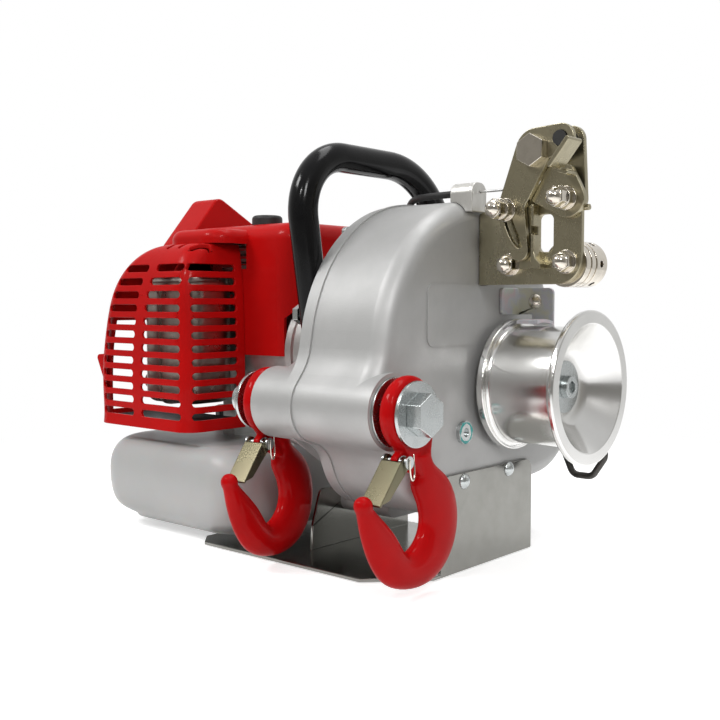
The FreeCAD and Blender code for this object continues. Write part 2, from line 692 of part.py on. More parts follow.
def anchor_washers():
    """Two large outer washers and the thin ring at the barrel's right end."""
    bore = ANCHOR_BOLT_R + SEAT_GAP
    sizes = ((RIGHT_WASHER, WASHER_T, WASHER_R), (LEFT_WASHER, WASHER_T, WASHER_R),
             (BARREL_RIGHT, RING_T, RING_R))
    return group([tube("x", ANCHOR_Y, ANCHOR_Z, x, x + t, r, bore) for x, t, r in sizes])


# Rails of the forged hook as offsets (y, z) from the eye centre: back edge, throat edge
HOOK_RAILS = (
    ((20, -24), (0, -28)),
    ((35, -41), (6, -46)),
    ((48, -57), (11, -58)),
    ((51, -76), (14, -71)),
    ((45, -94), (10, -81)),
    ((33, -106), (4, -86)),
    ((15, -112), (-2, -88)),
    ((-4, -111), (-6, -86)),
    ((-22, -104), (-10, -80)),
    ((-34, -91), (-15, -73)),
    ((-41, -77), (-22, -66)),
    ((-45, -64), (-30, -59)),
    ((-48, -53), (-37, -53)),
)
TIP_AT = (-42.5, -52.0)
TIP_R = 6.0
LATCH_AT = (-10.0, -29.0)
LATCH_LENGTH = 34.5
LATCH_SLANT = 224.0
EAR_HALF = 3.0
CHEEK_INSIDE = 6.4
SPRING_WIRE_R = 0.5
SPRING_R = 3.7
LATCH_Y = ANCHOR_Y + LATCH_AT[0]
LATCH_Z = ANCHOR_Z + LATCH_AT[1]


def hook(mid):
    """Forged eye hook in a plane square to X: a rounded eye and a lofted body that tapers to the tip."""
    sections = []
    for k, (back, throat) in enumerate(HOOK_RAILS):
        a = V(mid, ANCHOR_Y + back[0], ANCHOR_Z + back[1])
        b = V(mid, ANCHOR_Y + throat[0], ANCHOR_Z + throat[1])
        half = (a - b).Length / 2
        thick = HOOK_T / 2 - 0.75 * max(0, k - 8)
        spread = (a - b).normalize()
        curve = Part.makeCircle(1.0, V(0, 0, 0), V(0, 0, 1))
        stretch = FreeCAD.Matrix()
        across = V(1, 0, 0)
        normal = spread.cross(across)
        stretch.A11, stretch.A12, stretch.A13 = spread.x * half, across.x * thick, normal.x
        stretch.A21, stretch.A22, stretch.A23 = spread.y * half, across.y * thick, normal.y
        stretch.A31, stretch.A32, stretch.A33 = spread.z * half, across.z * thick, normal.z
        centre = (a + b) * 0.5
        stretch.A14, stretch.A24, stretch.A34 = centre.x, centre.y, centre.z
        sections.append(Part.Wire(curve.transformGeometry(stretch)))
    body = Part.makeLoft(sections, True, False)
    tip = Part.makeSphere(TIP_R, V(mid, ANCHOR_Y + TIP_AT[0], ANCHOR_Z + TIP_AT[1]))
    eye = rod("x", ANCHOR_Y, ANCHOR_Z, mid - EYE_T / 2, mid + EYE_T / 2, EYE_R)
    eye = round_edges(eye, EYE_ROUND, lambda e: e.BoundBox.XLength < 0.01)
    neck = slab("x", mid - 5.5, 11, [(ANCHOR_Y - 6, ANCHOR_Z - 19, 4), (ANCHOR_Y + 10, ANCHOR_Z - 33, 7),
                                           (ANCHOR_Y + 14, ANCHOR_Z - 16, 6)])
    ear = slab("x", mid - EAR_HALF, 2 * EAR_HALF, [(LATCH_Y, LATCH_Z, 4.5), (ANCHOR_Y + 10, ANCHOR_Z - 36, 4),
                                                   (ANCHOR_Y, ANCHOR_Z - 20, 3)])
    whole = fuse([body, tip, eye, neck, ear])
    bore = rod("x", ANCHOR_Y, ANCHOR_Z, mid - HOOK_T, mid + HOOK_T, EYE_BORE)
    pin = rod("x", LATCH_Y, LATCH_Z, mid - HOOK_T, mid + HOOK_T, LATCH_PIN_R + SEAT_GAP)
    return whole.cut(bore).cut(pin)


def latch_point(along_it, out):
    """Point of the latch: distance from the pivot along it, and out from it to the front."""
    turn = math.radians(LATCH_SLANT)
    return (LATCH_Y + along_it * math.cos(turn) + out * math.sin(turn),
            LATCH_Z + along_it * math.sin(turn) - out * math.cos(turn))


def latch(mid):
    """Folded sheet gate: a web over the throat and two narrow cheeks on the pin."""
    outer = CHEEK_INSIDE + LATCH_SHEET
    half = LATCH_SHEET / 2
    web = slab("x", mid - outer, 2 * outer, [(*latch_point(4, 4.4), half),
                                             (*latch_point(LATCH_LENGTH, 0.8), half)])
    parts = [web]
    for start in (mid - outer, mid + CHEEK_INSIDE):
        parts.append(slab("x", start, LATCH_SHEET, [(LATCH_Y, LATCH_Z, 4.0), (*latch_point(4, 3.0), 1.4),
                                                    (*latch_point(LATCH_LENGTH - 3, 0.2), 1.0),
                                                    (*latch_point(LATCH_LENGTH - 8, -2.5), 1.2)]))
    body = fuse(parts)
    return body.cut(rod("x", LATCH_Y, LATCH_Z, mid - outer - 1, mid + outer + 1, LATCH_PIN_R + RUN_FIT))


def latch_pivot(mid):
    """Rivet of the latch with the torsion spring wound on it."""
    outer = CHEEK_INSIDE + LATCH_SHEET + SLIDE_GAP
    pin = rod("x", LATCH_Y, LATCH_Z, mid - outer, mid + outer, LATCH_PIN_R)
    heads = [rod("x", LATCH_Y, LATCH_Z, start, start + 1.5, LATCH_PIN_R + 1.6)
             for start in (mid - outer - 1.5, mid + outer)]
    first = EAR_HALF + SPRING_WIRE_R + 0.1
    pitch = 2 * SPRING_WIRE_R + 0.45
    turns = 1.25

    def coil(angle):
        turn = math.radians(angle)
        return V(mid + first + pitch * angle / 360 * 1.0, LATCH_Y + SPRING_R * math.cos(turn),
                 LATCH_Z + SPRING_R * math.sin(turn))

    arcs = []
    steps = int(turns * 4)
    for k in range(steps):
        arcs.append(Part.Arc(coil(90 * k), coil(90 * k + 45), coil(90 * k + 90)).toShape())
    wire = Part.Wire(arcs)
    spring = pipe(wire, SPRING_WIRE_R)
    print("latch spring turns", turns, "gap between turns", round(pitch - 2 * SPRING_WIRE_R, 2))
    return group([fuse([pin] + heads), spring])


# Drum

def drum():
    """Polished capstan: hub and web on the shaft, a waisted barrel with two flanges and an open dish."""
    x0, x1 = DRUM_START, DRUM_START + DRUM_LENGTH
    bore = SHAFT_R + SEAT_GAP
    floor = x0 + DRUM_HUB
    back = x1 - OUTER_FLANGE_T
    front = x0 + INNER_FLANGE_T
    corners = [
        (x0, bore, 0), (floor, bore, 0), (floor + DISH_ROUND, DRUM_WASHER_R + 1.5, -DISH_ROUND),
        (x1 - 1, OUTER_FLANGE_R - RIM_FACE + 1, 1),
        (x1 - 1.5, OUTER_FLANGE_R - 1.5, 1.5), (back + 1.5, OUTER_FLANGE_R - 1.5, 1.5),
        (back - 7, DRUM_R + 7, -7), (front + 3, DRUM_R + 3, -3), (front - 1, INNER_FLANGE_R - 1, 1),
        (x0 + 1, INNER_FLANGE_R - 1, 1),
    ]
    profile = belt("y", DRUM_Y, [(x, DRUM_Z + r, bend) for x, r, bend in corners])
    body = Part.Face(profile).revolve(V(0, DRUM_Y, DRUM_Z), V(1, 0, 0), 360)
    pocket = tube("x", DRUM_Y, DRUM_Z, x0 - 1, floor - DRUM_DISC, DRUM_R - DRUM_WALL, SHAFT_R + 8)
    return body.cut(pocket)


def drum_bolt():
    """Socket bolt and washer that hold the drum on its shaft."""
    washer = tube("x", DRUM_Y, DRUM_Z, WEB_FACE, WEB_FACE + WASHER_T, DRUM_WASHER_R, DRUM_BOLT_R + SEAT_GAP)
    face = WEB_FACE + WASHER_T
    head = rod("x", DRUM_Y, DRUM_Z, face, face + DRUM_BOLT_R, DRUM_BOLT_R * 1.6)
    head = head.cut(hexagon("x", DRUM_Y, DRUM_Z, face + 1.5, DRUM_BOLT_R, 8))
    shank = rod("x", DRUM_Y, DRUM_Z, WEB_FACE - 22, face + 1, DRUM_BOLT_R)
    return group([washer, fuse([head, shank])])


# Handle

HANDLE_X = CASE_LEFT - TUBE_R - SLIDE_GAP
HANDLE_BOLT_R = 4.0
HANDLE_BOLT_Z = HANDLE_FOOT_Z + 14.0
BOLT_SHARE = (HANDLE_BOLT_Z - HANDLE_FOOT_Z) / (HANDLE_Z - HANDLE_FOOT_Z)
HANDLE_BOLTS = [(HANDLE_FRONT_Y - HANDLE_FRONT_LEAN * BOLT_SHARE, HANDLE_BOLT_Z),
                (HANDLE_REAR_Y + HANDLE_REAR_LEAN * BOLT_SHARE, HANDLE_BOLT_Z)]


def handle_path():
    """Centre line of the carry handle: two leaning legs and a level grip with round corners."""
    corners = [(HANDLE_FRONT_Y, HANDLE_FOOT_Z), (HANDLE_FRONT_Y - HANDLE_FRONT_LEAN, HANDLE_Z),
               (HANDLE_REAR_Y + HANDLE_REAR_LEAN, HANDLE_Z), (HANDLE_REAR_Y, HANDLE_FOOT_Z)]
    return bent([V(HANDLE_X, y, z) for y, z in corners], (HANDLE_FRONT_BEND, HANDLE_REAR_BEND))


def handle():
    """Bent black tube, drilled at both feet."""
    path = handle_path()
    body = pipe(path, TUBE_R).cut(pipe(path, TUBE_R - TUBE_WALL))
    holes = [rod("x", y, z, HANDLE_X - TUBE_R - 1, CASE_LEFT, HANDLE_BOLT_R + SEAT_GAP)
             for y, z in HANDLE_BOLTS]
    return body.cut(Part.makeCompound(holes))


def case_bolts():
    """Cover bolts round the rim and the two longer bolts through the handle's feet."""
    bolts = []
    for y, z in case_bolt_sites():
        head = rod("x", y, z, CASE_LEFT - 4, CASE_LEFT, CASE_BOLT_R * 1.8)
        head = head.cut(hexagon("x", y, z, CASE_LEFT - 5, 3, 3))
        bolts.append(fuse([head, rod("x", y, z, CASE_LEFT - 0.5, CASE_SPLIT + 10, CASE_BOLT_R)]))
    for y, z in HANDLE_BOLTS:
        start = HANDLE_X - TUBE_R
        head = hexagon("x", y, z, start - 5, 5, 13)
        bolts.append(fuse([head, rod("x", y, z, start - 0.5, CASE_LEFT + CASE_WALL - 1, HANDLE_BOLT_R)]))
    return group(bolts)


# Clutch and crankshaft

CLUTCH_CLEAR = 7.0      # room between clutch cup and bell
CLUTCH_R = BELL_R - BELL_WALL - CLUTCH_CLEAR
CLUTCH_WEB = 4.0
CUP_DEPTH = 20.0
CRANK_R = 8.0
CRANK_LEFT = BELL_END - CRANKCASE_LENGTH
FLYWHEEL_X = CRANK_LEFT - 4 - FLYWHEEL_T
WEB_R = 28.0
WEB_T = 9.0
THROW = 14.0


def clutch_housing():
    """Bell between engine and gear case with an end wall and a bolting flange."""
    profile = [(BELL_END, CRANK_R + 2), (BELL_END, BELL_R - 3), (BELL_END + 6, BELL_R), (CASE_LEFT - 8, BELL_R),
               (CASE_LEFT - 6, BELL_R + 5), (CASE_LEFT, BELL_R + 5), (CASE_LEFT, BELL_R - BELL_WALL),
               (BELL_END + 4, BELL_R - BELL_WALL), (BELL_END + 4, CRANK_R + 2)]
    bell = turned(profile, *INPUT_AXIS)
    slots = []
    for k in range(5):
        turn = math.radians(200 + 35 * k)
        y, z = CRANK_Y + BELL_R * math.cos(turn), CRANK_Z + BELL_R * math.sin(turn)
        slots.append(slab("x", BELL_END + 14, 26, [(y - 4, z - 4, 3), (y + 4, z - 4, 3), (y, z + 4, 3)]))
    return bell.cut(Part.makeCompound(slots))


def clutch_drum():
    """Cup that the shoes grip, on the input shaft."""
    lip = CLUTCH_X - CUP_DEPTH
    end = CLUTCH_X + CLUTCH_WEB
    profile = [(lip, CLUTCH_R - 3), (lip, CLUTCH_R), (end, CLUTCH_R), (end, JOURNAL_R + 6),
               (end + 8, JOURNAL_R + 6), (end + 8, INPUT_R + SEAT_GAP),
               (CLUTCH_X, INPUT_R + SEAT_GAP), (CLUTCH_X, CLUTCH_R - 3)]
    return turned(profile, *INPUT_AXIS)


def clutch_shoes():
    """Two centrifugal shoes with linings, one each side of the crank end."""
    y, z = INPUT_AXIS
    start = CLUTCH_X - CUP_DEPTH + 2
    ring = tube("x", y, z, start, start + 12, CLUTCH_R - 3 - 1.2, CRANK_R + SEAT_GAP)
    gap = box(start - 1, start + 13, y - 40, y + 40, z - 2, z + 2)
    cut = ring.cut(gap)
    return group(cut.Solids)


def crankshaft():
    """Crank with two webs and an offset pin, from the flywheel seat to the clutch."""
    y, z = INPUT_AXIS
    middle = CYLINDER_X
    left, right = middle - 5 - WEB_T, middle + 5
    shapes = [rod("x", y, z, FLYWHEEL_X, left + 1, CRANK_R), rod("x", y, z, left, left + WEB_T, WEB_R),
              rod("x", y, z + THROW, left + WEB_T - 1, right + 1, CRANK_R),
              rod("x", y, z, right, right + WEB_T, WEB_R),
              rod("x", y, z, right + WEB_T - 1, CLUTCH_X - SLIDE_GAP - 0.7, CRANK_R)]
    return fuse(shapes)


def flywheel():
    """Fan flywheel: a disc with twelve blades, bored for the crank."""
    y, z = INPUT_AXIS
    start = FLYWHEEL_X
    disc = rod("x", y, z, start + 9, start + FLYWHEEL_T, FLYWHEEL_R)
    hub = rod("x", y, z, start, start + FLYWHEEL_T, 16)
    blades = []
    blade = box(start, start + 10, y + 20, y + FLYWHEEL_R, z - 1.2, z + 1.2)
    for k in range(12):
        turned_blade = blade.copy()
        turned_blade.rotate(V(0, y, z), V(1, 0, 0), 30 * k)
        blades.append(turned_blade)
    return fuse([disc, hub] + blades).cut(rod("x", y, z, start - 1, start + FLYWHEEL_T + 1, CRANK_R + SEAT_GAP))


# Engine block

BLOCK_TOP = 190.0
FIN_LOW = BLOCK_TOP + 4
HEAD_TOP = FIN_LOW + (FIN_COUNT - 1) * FIN_PITCH + FIN_T
PLUG_X = -99.0
PLUG_Y = -3.0
PLUG_BODY_R = 5.0


def crankcase():
    """Round crankcase with end walls, a pad for the cylinder and legs down to the tank."""
    y, z = INPUT_AXIS
    shell = rod("x", y, z, CRANK_LEFT, BELL_END, CRANKCASE_R)
    pad = box(CYLINDER_X - 36, CYLINDER_X + 36, y - 36, y + 36, z + 10, BLOCK_TOP)
    legs = [box(x, x + 14, y - 30, y + 30, TANK_TOP, z - 20) for x in (CRANK_LEFT + 6, BELL_END - 24)]
    flange = tube("x", y, z, BELL_END - 6, BELL_END, BELL_R - 3, CRANKCASE_R - 2)
    body = fuse([shell, pad, flange] + legs)
    room = rod("x", y, z, CRANK_LEFT + 8, BELL_END - 8, CRANKCASE_R - 7)
    bore = rod("x", y, z, CRANK_LEFT - 1, BELL_END + 1, CRANK_R + RUN_FIT)
    return body.cut(room).cut(bore).cut(rod("z", CYLINDER_X, y, z, BLOCK_TOP + 1, BORE_BLOCK_R - 6))


def cylinder():
    """Finned cylinder and head in one casting, with the exhaust and inlet ports."""
    y = CRANK_Y
    core = rod("z", CYLINDER_X, y, BLOCK_TOP, HEAD_TOP, BORE_BLOCK_R)
    half = FIN_SIDE / 2
    fins = []
    for k in range(FIN_COUNT):
        z = FIN_LOW + k * FIN_PITCH
        fins.append(slab("z", z, FIN_T, rounded(CYLINDER_X - half, CYLINDER_X + half, y - half, y + half, 10)))
    port_low = FIN_LOW + 4
    port = box(CYLINDER_X - 14, CYLINDER_X + 14, y - half, y + half, port_low, port_low + 3 * FIN_PITCH)
    foot = slab("z", BLOCK_TOP, 4, rounded(CYLINDER_X - 30, CYLINDER_X + 30, y - 30, y + 30, 6))
    tower = rod("z", PLUG_X, PLUG_Y, HEAD_TOP - 20, HEAD_TOP + 2, 10)
    block = fuse([core, port, foot, tower] + fins)
    return block.cut(rod("z", PLUG_X, PLUG_Y, HEAD_TOP - 12, HEAD_TOP + 3, PLUG_BODY_R + SEAT_GAP))


def spark_plug():
    """Plug body with its hexagon and insulator."""
    low = HEAD_TOP + 2
    shapes = [rod("z", PLUG_X, PLUG_Y, low - 13, low, PLUG_BODY_R), hexagon("z", PLUG_X, PLUG_Y, low, 3, 14),
              rod("z", PLUG_X, PLUG_Y, low + 2, low + 8, 3.2)]
    return fuse(shapes)


def plug_cap():
    """Black rubber cap over the plug, standing through the hood."""
    low = HEAD_TOP + 5 + SLIDE_GAP
    cap = rod("z", PLUG_X, PLUG_Y, low, HOOD_TOP + 8, 12.5)
    cap = round_edges(cap, 3.0, lambda e: e.BoundBox.ZMin > HOOD_TOP + 7)
    return cap.cut(rod("z", PLUG_X, PLUG_Y, low - 1, low + 6, 3.2 + SEAT_GAP))


MUFFLER_REAR = CRANK_Y - FIN_SIDE / 2
MUFFLER_LEFT = -175.0
MUFFLER_RIGHT = -110.0
MUFFLER_FRONT = -76.0
MUFFLER_LOW = 106.0
MUFFLER_HIGH = 210.0


def muffler():
    """Pressed box muffler with a seam band and an outlet, bolted to the exhaust port."""
    box_rear = MUFFLER_REAR - 7
    low, high = MUFFLER_LOW, MUFFLER_HIGH
    body = slab("z", low, high - low, rounded(MUFFLER_LEFT, MUFFLER_RIGHT, MUFFLER_FRONT, box_rear, 14))
    body = round_edges(body, 9, lambda e: e.BoundBox.ZLength < 0.01)
    seam = slab("x", -150, 3, rounded(MUFFLER_FRONT - 1.5, box_rear, low - 1.5, high - 4, 12))
    port = box(CYLINDER_X - 14, CYLINDER_X - 2, box_rear - 4, MUFFLER_REAR, FIN_LOW + 5, high - 3)
    outlet = rod("x", -60, 122, MUFFLER_LEFT - 6, MUFFLER_LEFT + 5, 7)
    return fuse([body, seam, port, outlet])


def stadium(u0, u1, v, height):
    """Belt circles of a slit with round ends."""
    r = height / 2
    return [(u0 + r, v, r), (u1 - r, v, r)]


def quarter(share):
    """Rise of a quarter ellipse: 0 at the start, 1 at the end, upright at the start."""
    return 1 - math.sqrt(max(0, 1 - share * share))


def guard_pull(z):
    """Pull-in of the guard's left side at a height."""
    return GUARD_CURVE_X * quarter(max(0, z - GUARD_TOP + GUARD_CURVE_H) / GUARD_CURVE_H)


def guard_shape(inset):
    """Guard's form, set in by a wall: left side and front follow quarter ellipses up to the top."""
    start = GUARD_TOP - GUARD_CURVE_H
    front_start = GUARD_TOP - GUARD_FRONT_H
    levels = [(GUARD_LOW - inset, 0.0)] + [(start, 0.0)]
    levels += [(start + (GUARD_CURVE_H - inset) * math.sin(math.radians(a)), math.sin(math.radians(a)))
               for a in (16, 30, 43, 55, 66, 77, 90)]
    wires = []
    for z, share in levels:
        front_share = max(0, start + GUARD_CURVE_H * share - front_start) / GUARD_FRONT_H
        pull_x = inset + (GUARD_CURVE_X - inset) * quarter(share)
        pull_y = inset + (GUARD_CURVE_Y - inset) * quarter(front_share)
        wires.append(belt("z", z, rounded(GUARD_LEFT + pull_x, GUARD_RIGHT - 0.12 * pull_x - 0.88 * inset,
                                          GUARD_FRONT + pull_y, GUARD_REAR + 30, GUARD_ROUND - inset)))
    return Part.makeLoft(wires, True, False)


def muffler_guard():
    """Red moulded guard round the muffler: a drawn shell with rows of slits on two faces."""
    shell = guard_shape(0).cut(guard_shape(ENGINE_WALL))
    behind = box(GUARD_LEFT - 1, GUARD_RIGHT + 1, GUARD_REAR - SLIDE_GAP, GUARD_REAR + 40, 0, GUARD_TOP + 1)
    side = box(GUARD_LEFT - 5, GUARD_LEFT + 14, GUARD_FRONT + GUARD_ROUND, GUARD_REAR + 1,
               GUARD_LOW + 10, GUARD_TOP - 62)
    cuts = [behind, side]
    for row in range(SLIT_ROWS):
        z = SLIT_LOW + row * SLIT_PITCH
        pull = guard_pull(z)
        left, post = GUARD_LEFT + 11 + pull, GUARD_LEFT + 57 + 0.62 * pull
        cuts.append(slab("y", GUARD_FRONT - 5, 22, stadium(left, post - 5, z, SLIT_H)))
        cuts.append(slab("y", GUARD_FRONT - 5, 22, stadium(post + 5, GUARD_RIGHT - 11, z, SLIT_H)))
        cuts.append(slab("x", GUARD_RIGHT - 10, 15, stadium(GUARD_FRONT + 7, GUARD_REAR - 8, z, SLIT_H)))
    for k in range(3):
        x = GUARD_RIGHT - 41 + 14 * k
        cuts.append(slab("z", GUARD_TOP - 16, 20, [(x, GUARD_FRONT + 16, 2), (x + 6, GUARD_FRONT + 27, 2)]))
    ear = slab("y", GUARD_FRONT + 10, 3, [(GUARD_LEFT - 9, 140, 3), (GUARD_LEFT + 4, 112, 2),
                                          (GUARD_LEFT + 4, 142, 2)])
    return fuse([shell.cut(Part.makeCompound(cuts)), ear])


HOOD_LEFT = -176.0
NOSE_FRONT = -60.0
NOSE_LEFT = -164.0
NOSE_RIGHT = -95.0
NOSE_H = 12.0
NOSE_CORNER = 20.0
NOSE_ROUND = 8.0


def hood_main(inset, low):
    """Main block of the hood with round front corners, its top edge rounded except at the open rear."""
    left, right, front = HOOD_LEFT + inset, HOOD_RIGHT - inset, GUARD_REAR + inset
    rear, top = HOOD_REAR + 8 * inset, HOOD_TOP - inset
    r1, r2 = HOOD_LEFT_R - inset, HOOD_RIGHT_R - inset
    block = slab("z", low, top - low, [(left + r1, front + r1, r1), (right - r2, front + r2, r2),
                                       (right, rear, 0), (left, rear, 0)])
    return round_edges(block, HOOD_ROUND - inset,
                       lambda e: e.BoundBox.ZMin > top - 0.01 and e.BoundBox.YMin < rear - 0.01)


def hood_nose(inset):
    """Flat nose of the hood that reaches over the guard's top."""
    top = GUARD_TOP + NOSE_H - inset
    low = GUARD_TOP + SLIDE_GAP - 8 * inset
    block = slab("z", low, top - low, rounded(NOSE_LEFT + inset, NOSE_RIGHT - inset, NOSE_FRONT + inset,
                                              GUARD_REAR + 40, NOSE_CORNER - inset))
    return round_edges(block, NOSE_ROUND - inset, lambda e: e.BoundBox.ZMin > top - 0.01)


def engine_hood():
    """Red hood over the cylinder, open below, behind and into the guard, with a hole for the plug cap."""
    body = hood_main(0, HOOD_LOW).fuse(hood_nose(0)).removeSplitter()
    body = body.cut(hood_main(ENGINE_WALL, HOOD_LOW - 1)).cut(hood_nose(ENGINE_WALL))
    body = body.cut(guard_shape(ENGINE_WALL))
    body = body.cut(rod("x", *INPUT_AXIS, HOOD_LEFT, BELL_END, CRANKCASE_R + 2 * SLIDE_GAP))
    body = body.cut(rod("x", *INPUT_AXIS, BELL_END - 10, HOOD_RIGHT + 1, BELL_R + 1))
    return body.cut(rod("z", PLUG_X, PLUG_Y, HOOD_TOP - 30, HOOD_TOP + 5, 12.5 + SLIDE_GAP))


STARTER_RIGHT = HOOD_LEFT - SLIDE_GAP
STARTER_LEFT = STARTER_RIGHT - STARTER_T


def starter_circles(inset):
    """Outline of the recoil cover with its peaked top."""
    return [(70.0, 128.0, 18 - inset), (70.0, 233.0, 15 - inset), (14.0, 270.0, 9 - inset),
            (-14.0, 231.0, 13 - inset), (-9.0, 128.0, 18 - inset)]


def starter_cover():
    """Red recoil cover at the outer end: a pressed cup with a ring of air slots."""
    body = slab("x", STARTER_LEFT, STARTER_T, starter_circles(0))
    body = round_edges(body, 7, lambda e: e.BoundBox.XMax < STARTER_LEFT + 0.01)
    room = slab("x", STARTER_LEFT + ENGINE_WALL, STARTER_T, starter_circles(ENGINE_WALL))
    room = round_edges(room, 7 - ENGINE_WALL, lambda e: e.BoundBox.XMax < STARTER_LEFT + ENGINE_WALL + 0.01)
    inner_wall = box(STARTER_RIGHT - ENGINE_WALL, STARTER_RIGHT + STARTER_T, -50, 100,
                     HOOD_TOP - 14, HOOD_TOP + 50)
    body = body.cut(room.cut(inner_wall))
    cuts = []
    for k in range(10):
        slot = slab("x", STARTER_LEFT - 1, ENGINE_WALL + 2,
                    [(CRANK_Y + 24, CRANK_Z, 2.5), (CRANK_Y + 38, CRANK_Z, 3)])
        slot.rotate(V(0, CRANK_Y, CRANK_Z), V(1, 0, 0), 36 * k)
        cuts.append(slot)
    cuts.append(rod("y", ROPE_X, ROPE_Z, CRANK_Y, GRIP_Y, ROPE_R + SLIDE_GAP))
    return body.cut(Part.makeCompound(cuts))


ROPE_X = STARTER_LEFT + STARTER_T / 2
ROPE_Z = 206.0
ROPE_R = 2.0
ROPE_RUN = 90.0
GRIP_Y = 87.0


def starter_grip():
    """Pull grip behind the recoil cover with the straight run of its rope."""
    bar = slab("y", GRIP_Y, 14, rounded(ROPE_X - 16, ROPE_X + 16, ROPE_Z - 7, ROPE_Z + 7, 6))
    rope = rod("y", ROPE_X, ROPE_Z, GRIP_Y - ROPE_RUN - 5, GRIP_Y + 1, ROPE_R)
    return fuse([bar, rope])


# Carburettor side

INLET = CRANK_Y + FIN_SIDE / 2
CARB_X = CYLINDER_X
CARB_Z = FIN_LOW + 14
CARB_LENGTH = 34.0
LEVER_Y = INLET + 20
LEVER_Z = CARB_Z + 14.0
LEVER_REACH = 14.0
SPINDLE_R = 2.0


def carburettor():
    """Small carburettor: flange, throat, body block, float bowl and the throttle spindle boss."""
    start, end = INLET, INLET + CARB_LENGTH
    body = rod("y", CARB_X, CARB_Z, start, end, 11)
    flange = slab("y", start, 5, rounded(CARB_X - 20, CARB_X + 20, CARB_Z - 9, CARB_Z + 9, 6))
    block = box(CARB_X - 13, CARB_X + 13, start + 9, end - 6, CARB_Z - 13, CARB_Z + 13)
    bowl = rod("z", CARB_X, start + 20, CARB_Z - 30, CARB_Z - 10, 12)
    boss = rod("z", CARB_X, LEVER_Y, CARB_Z, LEVER_Z, 5)
    whole = fuse([body, flange, block, bowl, boss])
    whole = whole.cut(rod("z", CARB_X, LEVER_Y, CARB_Z + 1, LEVER_Z + 1, SPINDLE_R + RUN_FIT))
    return whole.cut(rod("y", CARB_X, CARB_Z, start - 1, start + 12, 7))


def throttle_lever():
    """Upright throttle spindle with its lever arm."""
    start = LEVER_Z + SLIDE_GAP
    arm = slab("z", start, 2.5, [(CARB_X, LEVER_Y - LEVER_REACH, 3.5), (CARB_X, LEVER_Y, 5)])
    spindle = rod("z", CARB_X, LEVER_Y, CARB_Z + 2, start + 1, SPINDLE_R)
    return fuse([arm, spindle])


def air_cleaner():
    """Black air cleaner box behind the carburettor."""
    start = INLET + CARB_LENGTH
    body = slab("y", start, 30, rounded(CARB_X - 34, CARB_X + 34, CARB_Z - 34, CARB_Z + 30, 10))
    body = round_edges(body, 5, lambda e: e.BoundBox.YMin > start + 29.9)
    rows = [CARB_Z - 22 + 12 * k for k in range(4)]
    grooves = [box(CARB_X - 26, CARB_X + 26, start + 28.5, start + 31, z, z + 3) for z in rows]
    return body.cut(Part.makeCompound(grooves))


# Fuel tank

CAP_X = -182.0
CAP_Y = 36.0
CAP_R = 19.0
NECK_R = 14.0
NECK_H = 9.0
HOSE_R = 3.0


def tank_shape(inset):
    """Blown tank: full in the middle, drawn in towards floor and top."""
    low, top = TANK_LOW + inset, TANK_TOP - inset
    plans = ((low, 16.0), (low + 8, 7.0), (low + 22, 1.0), (low + 34, 0.0), (top - 24, 0.0),
             (top - 10, 3.0), (top - 3, 8.0), (top, 14.0))
    wires = []
    for z, pull in plans:
        wires.append(belt("z", z, rounded(TANK_LEFT + pull + inset, TANK_RIGHT - pull - inset,
                                          TANK_FRONT + pull + inset, TANK_REAR - pull - inset,
                                          TANK_ROUND - inset)))
    return Part.makeLoft(wires, True, False)


def fuel_tank():
    """Hollow translucent tank with a filler neck."""
    neck = rod("z", CAP_X, CAP_Y, TANK_TOP - 4, TANK_TOP + NECK_H, NECK_R)
    body = fuse([tank_shape(0), neck])
    body = body.cut(tank_shape(TANK_WALL))
    return body.cut(rod("z", CAP_X, CAP_Y, TANK_TOP - 10, TANK_TOP + NECK_H + 1, NECK_R - 3))


def tank_cap():
    """Screw cap with a fluted rim over the filler neck."""
    low = TANK_TOP + 2
    cap = rod("z", CAP_X, CAP_Y, low, low + 16, CAP_R)
    flutes = []
    for k in range(12):
        turn = math.radians(30 * k)
        flutes.append(rod("z", CAP_X + (CAP_R + 1) * math.cos(turn), CAP_Y + (CAP_R + 1) * math.sin(turn),
                          low - 1, low + 17, 2.2))
    cap = cap.cut(Part.makeCompound(flutes))
    return cap.cut(rod("z", CAP_X, CAP_Y, low - 1, TANK_TOP + NECK_H + SLIDE_GAP, NECK_R + SLIDE_GAP))


def fuel_line():
    """Hose from the tank up to the carburettor bowl."""
    y = INLET + 20
    points = [(-78, TANK_REAR - 26, TANK_TOP), (-78, TANK_REAR - 26, TANK_TOP + 26),
              (-84, y - 6, TANK_TOP + 50), (-94, y, TANK_TOP + 72), (CARB_X, y, CARB_Z - 30 - 16),
              (CARB_X, y, CARB_Z - 30)]
    return pipe(route(points), HOSE_R)


# Rope lock

LOCK_BACK = LOCK_FRONT + LOCK_PLATE
LUG_SEAT = CRANK_Z + CASE_R - 9.0
LOCK_SCREWS = [(30.0, 212.0), (30.0, 236.0)]
LOWER_BOLTS = [(129.5, 213.0), (172.0, 214.0)]
CAM_FRONT = LOCK_FRONT - SLIDE_GAP - CAM_T
ARM_FRONT = CAM_FRONT - 0.7 - ARM_T
REAR_ARM = LOCK_BACK + SLIDE_GAP
ARM_BOLT = (152.5, 287.0)
ARM_HEAD_R = 15.0
ARM_BOLT_R = 5.0
BUMPER = (171.5, 293.5)
BUMPER_R = 4.9
BUMPER_HEAD_R = 9.5
TONGUE = (141.0, 222.0)
JAW_FRONT = 0.0
WINDOW = (150.5, 162.0, 221.0, 246.0)    # rope window: x and z limits
PAD_WIDTH = 17.5
STACK_WASHER = 1.5
STACK_NUT = 6.0
ACORN_H = 7.0
SLOT_R = math.hypot(PIVOT_X - GUIDE_X, PIVOT_Z - GUIDE_Z)
GUIDE_ANGLE = math.degrees(math.atan2(GUIDE_Z - PIVOT_Z, GUIDE_X - PIVOT_X)) % 360
HUB_X = 169.0
HUB_Z = 213.0


